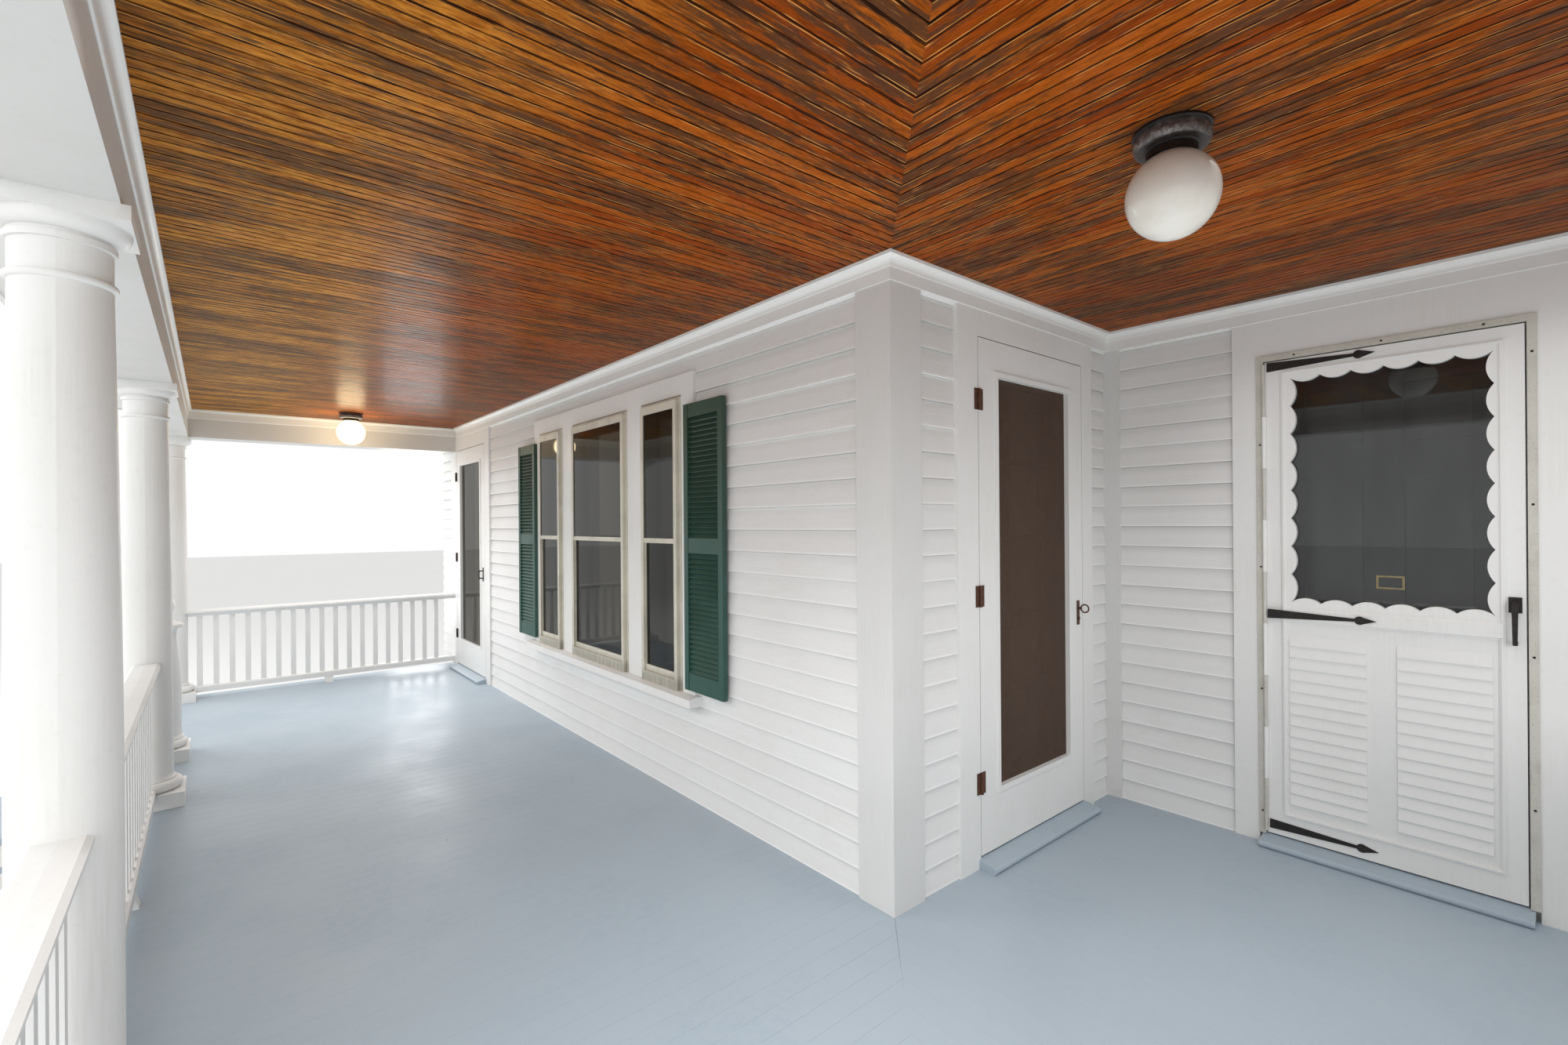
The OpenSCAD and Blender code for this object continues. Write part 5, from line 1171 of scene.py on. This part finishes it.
def build_shingle_tree():
    tree, given, result = geometry_tree(
        "shingle courses", Object="Shingle", Int="Courses, In a course, Seed", Vector="Eave corner",
        Float="Exposure, Width, Slope, Left edge, Left hip, Right edge, Right hip, Top, Turn",
        Material="Finish")
    total = times(given["Courses"], given["In a course"])
    line = shape("MeshLine", Count=total, Offset=(0.0, 0.0, 0.0), mode="OFFSET")
    number = add("GeometryNodeInputIndex").outputs[0]
    course = maths("FLOOR", over(number, given["In a course"]))
    in_course = minus(number, times(course, given["In a course"]))
    half = times(maths("MODULO", course, 2.0), -0.5)
    along = plus(given["Left edge"], times(plus(in_course, half), given["Width"]))
    rise = times(course, given["Exposure"])
    points = shape("SetPosition", Geometry=line, Position=vector_of(X=along, Y=rise))

    def limits(above):
        left = plus(given["Left edge"], times(given["Left hip"], above))
        right = minus(given["Right edge"], times(given["Right hip"], above))
        return left, right

    at = parts_of(position())
    left, right = limits(at["Y"])
    past_left = maths("LESS_THAN", plus(at["X"], given["Width"]), plus(left, SLIVER))
    past_right = maths("GREATER_THAN", at["X"], minus(right, SLIVER))
    outside = maths("GREATER_THAN", plus(past_left, past_right), 0.5)
    kept = shape("DeleteGeometry", Geometry=points, Selection=outside, domain="POINT")
    real = laid(kept, given["Shingle"], given["Seed"])
    point = parts_of(position())
    above = smaller(point["Y"], given["Top"])
    left, right = limits(above)
    held = smaller(larger(point["X"], left), right)
    lifted = plus(point["Z"], times(above, given["Slope"]))
    cut = shape("SetPosition", Geometry=real, Position=vector_of(X=held, Y=above, Z=lifted))
    cut = shape("MergeByDistance", Geometry=cut, Distance=WELD)
    turned = shape("Transform", Geometry=cut, Rotation=vector_of(Z=given["Turn"]),
                   Translation=given["Eave corner"])
    return finished(tree, given, result, turned)


SHINGLE_TREE = build_shingle_tree()
print("shingle tree:", len(SHINGLE_TREE.nodes), "nodes")

# %% [markdown]
# The roof has three slopes: one over the front leg with a hip at both ends, one over the side leg
# with a hip at the corner only, and the end slope between the front one and the house.

# %% Shingle the roof
SHINGLE_WIDTH = 0.305
ROOF_THICKNESS = 0.060
BUTT = 0.0060
HEAD = 0.0012
roof_low, roof_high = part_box("roof_front")
SLOPE = (roof_high[2] - roof_low[2] - ROOF_THICKNESS) / (roof_high[1] - roof_low[1])
EAVE_TOP = roof_low[2] + ROOF_THICKNESS
RUN = -roof_low[1]
COURSES = 20
EXPOSURE = RUN / COURSES
GAP = 0.003
OVERLAP = 0.014

plan = [(GAP, 0.0), (SHINGLE_WIDTH - GAP, 0.0), (SHINGLE_WIDTH - GAP, EXPOSURE + OVERLAP),
        (GAP, EXPOSURE + OVERLAP)]
under_side = [(x, y, 0.0) for x, y in plan]
upper_side = [(x, y, BUTT if y == 0.0 else HEAD) for x, y in plan]
shingle = solid("shingle", under_side + upper_side, ring_faces(2, len(plan)))


def shingled(name, left, left_hip, right, right_hip, turn, corner, seed):
    piece = grow(name, SHINGLE_TREE, Shingle=shingle, Courses=COURSES,
                 In_a_course=math.ceil((right - left) / SHINGLE_WIDTH) + 1, Exposure=EXPOSURE,
                 Width=SHINGLE_WIDTH, Slope=SLOPE, Left_edge=left, Left_hip=left_hip, Right_edge=right,
                 Right_hip=right_hip, Top=RUN, Turn=turn, Eave_corner=corner, Seed=seed,
                 Finish=gritted_shingles)
    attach(piece, "porch")


side_roof_low, side_roof_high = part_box("roof_side")
QUARTER = math.pi / 2
shingled("shingles_front", roof_low[0], 1.0, roof_high[0], 1.0, 0.0, (0.0, roof_low[1], EAVE_TOP), 5)
shingled("shingles_side", side_roof_low[1], 1.0, side_roof_high[1], 0.0, QUARTER,
         (side_roof_high[0], 0.0, EAVE_TOP), 6)
shingled("shingles_end", 0.0, 0.0, -roof_low[1], 1.0, -QUARTER, (roof_low[0], 0.0, EAVE_TOP), 7)
done_with(shingle)

# %% [markdown]
# ## Brick piers
#
# A pier a brick and a half square is laid as a pinwheel: in each course four bricks turn around a
# filled middle, and the next course turns the other way, so that no upright joint runs through. The
# bricks are slightly eased blocks, stacked in a loop, with a core of mortar set back between them.

# %% Build the piers
PIER = 0.30
MORTAR = 0.010
SET_BACK = 0.006
ARRIS = 0.003
BLOCK_RINGS, BLOCK_SIDES = 4, 4
pier_low, pier_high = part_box("porch_piers")
PIER_COURSES = round((pier_high[2] - pier_low[2]) / COURSE_HEIGHT)
COURSE = (pier_high[2] - pier_low[2]) / PIER_COURSES


def eased_blocks(name, blocks, ease):
    """Blocks as one mesh, each from its low to its high corner, with top and bottom rims cut back."""
    points, faces = [], []
    for (x0, y0, z0), (x1, y1, z1) in blocks:
        faces += ring_faces(BLOCK_RINGS, BLOCK_SIDES, start=len(points))
        for z, inset in ((z0, ease), (z0 + ease, 0.0), (z1 - ease, 0.0), (z1, ease)):
            points += [(x0 + inset, y0 + inset, z), (x1 - inset, y0 + inset, z),
                       (x1 - inset, y1 - inset, z), (x0 + inset, y1 - inset, z)]
    return solid(name, points, faces)


def pinwheel(course):
    """The four bricks of a course as (low, high) corners on plan. Odd courses turn the other way."""
    long = BRICK_LENGTH - MORTAR / 2
    short = PIER - BRICK_LENGTH - MORTAR / 2
    bricks = [((0, 0), (long, short)), ((long + MORTAR, 0), (PIER, long)),
              ((short + MORTAR, long + MORTAR), (PIER, PIER)), ((0, short + MORTAR), (short, PIER))]
    if course % 2:
        bricks = [((low[1], low[0]), (high[1], high[0])) for low, high in bricks]
    return bricks


PIER_HEADS = ("column_end", "newel_post", "column_second", "column_first", "column_corner", "column_side")


def build_piers():
    bricks, cores = [], []
    for head in PIER_HEADS:
        low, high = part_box(head)
        left = (low[0] + high[0]) / 2 - PIER / 2
        front = (low[1] + high[1]) / 2 - PIER / 2
        for course in range(PIER_COURSES):
            foot = pier_low[2] + course * COURSE
            for (x0, y0), (x1, y1) in pinwheel(course):
                bricks.append(((left + x0, front + y0, foot + MORTAR / 2),
                               (left + x1, front + y1, foot + COURSE - MORTAR / 2)))
        cores.append(((left + SET_BACK, front + SET_BACK, pier_low[2]),
                      (left + PIER - SET_BACK, front + PIER - SET_BACK, pier_high[2])))
    return eased_blocks("pier_bricks", bricks, ARRIS), eased_blocks("pier_mortar", cores, ARRIS)


pier_bricks, pier_mortar = build_piers()
tones = pier_bricks.data.attributes.new("board_tone", "FLOAT", "POINT")
BRICK_POINTS = BLOCK_RINGS * BLOCK_SIDES
SPREAD_BY, SPREAD_TO = 12.9898, 43758.5453
for index, value in enumerate(tones.data):
    value.value = (math.sin((index // BRICK_POINTS + 1) * SPREAD_BY) * SPREAD_TO) % 1.0
pier_bricks.data.materials.append(fired_brick)
pier_mortar.data.materials.append(lime_mortar)
for piece in (pier_bricks, pier_mortar):
    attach(piece, "porch")
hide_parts("porch_piers")
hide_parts("porch_piers")
print("piers:", len(PIER_HEADS), "of", PIER_COURSES, "courses,", len(pier_bricks.data.polygons), "faces")

# %% [markdown]
# ## Small metal parts
#
# Screws hold the storm door's frame to its casing, at even steps up both sides and along the top. A
# tree lays one rounded head at each point of a line.

# %% Put in the frame screws
HALF_TURN = 3.14


def build_row_tree():
    tree, given, result = geometry_tree("row of fixings", Object="Fixing", Int="Count, Seed",
                                        Vector="Start, Step", Material="Finish")
    line = shape("MeshLine", Count=given["Count"], Start_Location=given["Start"], Offset=given["Step"],
                 mode="OFFSET")
    turn = vector_of(Y=random_between(given["Seed"], 0.0, HALF_TURN))
    return finished(tree, given, result, laid(line, given["Fixing"], Rotation=turn))


ROW_TREE = build_row_tree()
SCREW_SIDES = 10
SCREW_OUTLINE = [(0.0042, 0.0), (0.0042, 0.0008), (0.0028, 0.0020), (0.0008, 0.0024)]


def turned_solid(name, outline, sides):
    """A shape turned on a lathe about Y. Its outline is (radius, distance towards the front)."""
    points = []
    for radius, along in outline:
        for side in range(sides):
            angle = 2 * math.pi * side / sides
            points.append((radius * math.cos(angle), -along, radius * math.sin(angle)))
    return solid(name, points, ring_faces(len(outline), sides))


frame_low, frame_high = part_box("storm_frame")
screw = turned_solid("screw", SCREW_OUTLINE, SCREW_SIDES)
BAR = 0.025
FRONT_FACE = 1.6570
LOWEST_LEFT, LOWEST_RIGHT, FIRST_ON_TOP = 0.80, 1.056, 0.832
LEFT_X, RIGHT_X, TOP_Z = frame_low[0] + BAR / 2, frame_high[0] - BAR / 2, frame_high[2] - BAR / 2
UP_STEP, LEVEL_STEP = (0, 0, 0.540), (0.285, 0, 0)
for name, count, start, step in (
    ("screws_left", 4, (LEFT_X, FRONT_FACE, LOWEST_LEFT), UP_STEP),
    ("screws_right", 4, (RIGHT_X, FRONT_FACE, LOWEST_RIGHT), UP_STEP),
    ("screws_top", 3, (FIRST_ON_TOP, FRONT_FACE, TOP_Z), LEVEL_STEP),
):
    piece = grow(name, ROW_TREE, Fixing=screw, Count=count, Start=start, Step=step, Seed=3,
                 Finish=black_iron)
    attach(piece, "porch")
done_with(screw)

# %% [markdown]
# Behind the storm door's glass, the panelled door has a small brass frame. What it is for can't be
# told. It is four bars with eased edges.

# %% Screw on the brass frame
PLATE_LEFT, PLATE_RIGHT = 1.075, 1.163
PLATE_FOOT, PLATE_TOP = 1.799, 1.854
PLATE_BAR = 0.007
PLATE_RELIEF = 0.0035
PLATE_EASE = 0.0006
SIDE_FOOT, SIDE_TOP = PLATE_FOOT + PLATE_BAR, PLATE_TOP - PLATE_BAR
DOOR_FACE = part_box("inner_door_c")[0][1]

door_frame = eased_blocks("door_brass_frame", [
    ((left, DOOR_FACE - PLATE_RELIEF, foot), (right, DOOR_FACE, top))
    for left, right, foot, top in (
        (PLATE_LEFT, PLATE_RIGHT, PLATE_FOOT, SIDE_FOOT),
        (PLATE_LEFT, PLATE_RIGHT, SIDE_TOP, PLATE_TOP),
        (PLATE_LEFT, PLATE_LEFT + PLATE_BAR, SIDE_FOOT, SIDE_TOP),
        (PLATE_RIGHT - PLATE_BAR, PLATE_RIGHT, SIDE_FOOT, SIDE_TOP),
    )], PLATE_EASE)
door_frame.data.materials.append(brass)
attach(door_frame, "front_door")
print("brass frame", round(PLATE_RIGHT - PLATE_LEFT, 3), "m wide")

# %% [markdown]
# The cast band of each ceiling light is embossed with a ring of upright leaves. They could be carved
# into the band, but a leaf laid on it, sunk halfway, looks the same. A tree sets one leaf out at even
# angles, turned to face outwards.

# %% Emboss the ceiling lights
SMALLEST_LEAF, LARGEST_LEAF = 0.94, 1.06


def build_ring_tree():
    tree, given, result = geometry_tree("ring of leaves", Object="Leaf", Int="Count, Seed", Float="Radius",
                                        Vector="Centre", Material="Finish")
    line = shape("MeshLine", Count=given["Count"], Offset=(0.0, 0.0, 0.0), mode="OFFSET")
    number = add("GeometryNodeInputIndex").outputs[0]
    angle = over(times(number, 2 * math.pi), given["Count"])
    spot = vector_of(X=times(maths("COSINE", angle), given["Radius"]),
                     Y=times(maths("SINE", angle), given["Radius"]))
    ring = shape("SetPosition", Geometry=line, Position=spot)
    real = laid(ring, given["Leaf"], Rotation=vector_of(Z=angle),
                Scale=random_between(given["Seed"], SMALLEST_LEAF, LARGEST_LEAF))
    moved = shape("Transform", Geometry=real, Translation=given["Centre"])
    return finished(tree, given, result, moved)


RING_TREE = build_ring_tree()
LEAVES = 18
LEAF_SIDES = 12
BAND_RADIUS = 0.0845
LEAF_WIDTH = 0.0125
LEAF_HEIGHT = 0.0145
LEAF_RELIEF = 0.0042
LEAF_RINGS = [(1.0, -0.0030), (0.92, 0.0006), (0.55, 0.0024)]
LEAF_NOTCH = 0.86
LEAF_TAPER = 0.45


def embossed_leaf():
    """A pointed leaf with a raised middle, seen from outside the band. It faces +X."""
    points = []
    for share, out in LEAF_RINGS:
        for side in range(LEAF_SIDES):
            angle = 2 * math.pi * side / LEAF_SIDES
            narrow = 1.0 - LEAF_TAPER * abs(math.sin(angle)) ** 3
            ragged = 1.0 if side % 2 == 0 else LEAF_NOTCH
            points.append((out, share * ragged * narrow * LEAF_WIDTH * math.cos(angle),
                           share * ragged * LEAF_HEIGHT * math.sin(angle)))
    points.append((LEAF_RELIEF, 0.0, 0.0))
    tip = len(points) - 1
    *faces, end = ring_faces(len(LEAF_RINGS), LEAF_SIDES)
    faces += [(end[side], end[(side + 1) % LEAF_SIDES], tip) for side in range(LEAF_SIDES)]
    return solid("leaf", points, faces)


leaf = embossed_leaf()
BAND_MIDDLE = (BAND_TOP + BAND_FOOT) / 2
for name, place, seed in (("fitter_leaves_near", GLOBE_PLACES[0], 11),
                          ("fitter_leaves_far", GLOBE_PLACES[1], 12)):
    piece = grow(name, RING_TREE, Leaf=leaf, Count=LEAVES, Radius=BAND_RADIUS,
                 Centre=(*place, BAND_MIDDLE), Seed=seed, Finish=fitter_iron)
    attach(piece, "porch")
done_with(leaf)
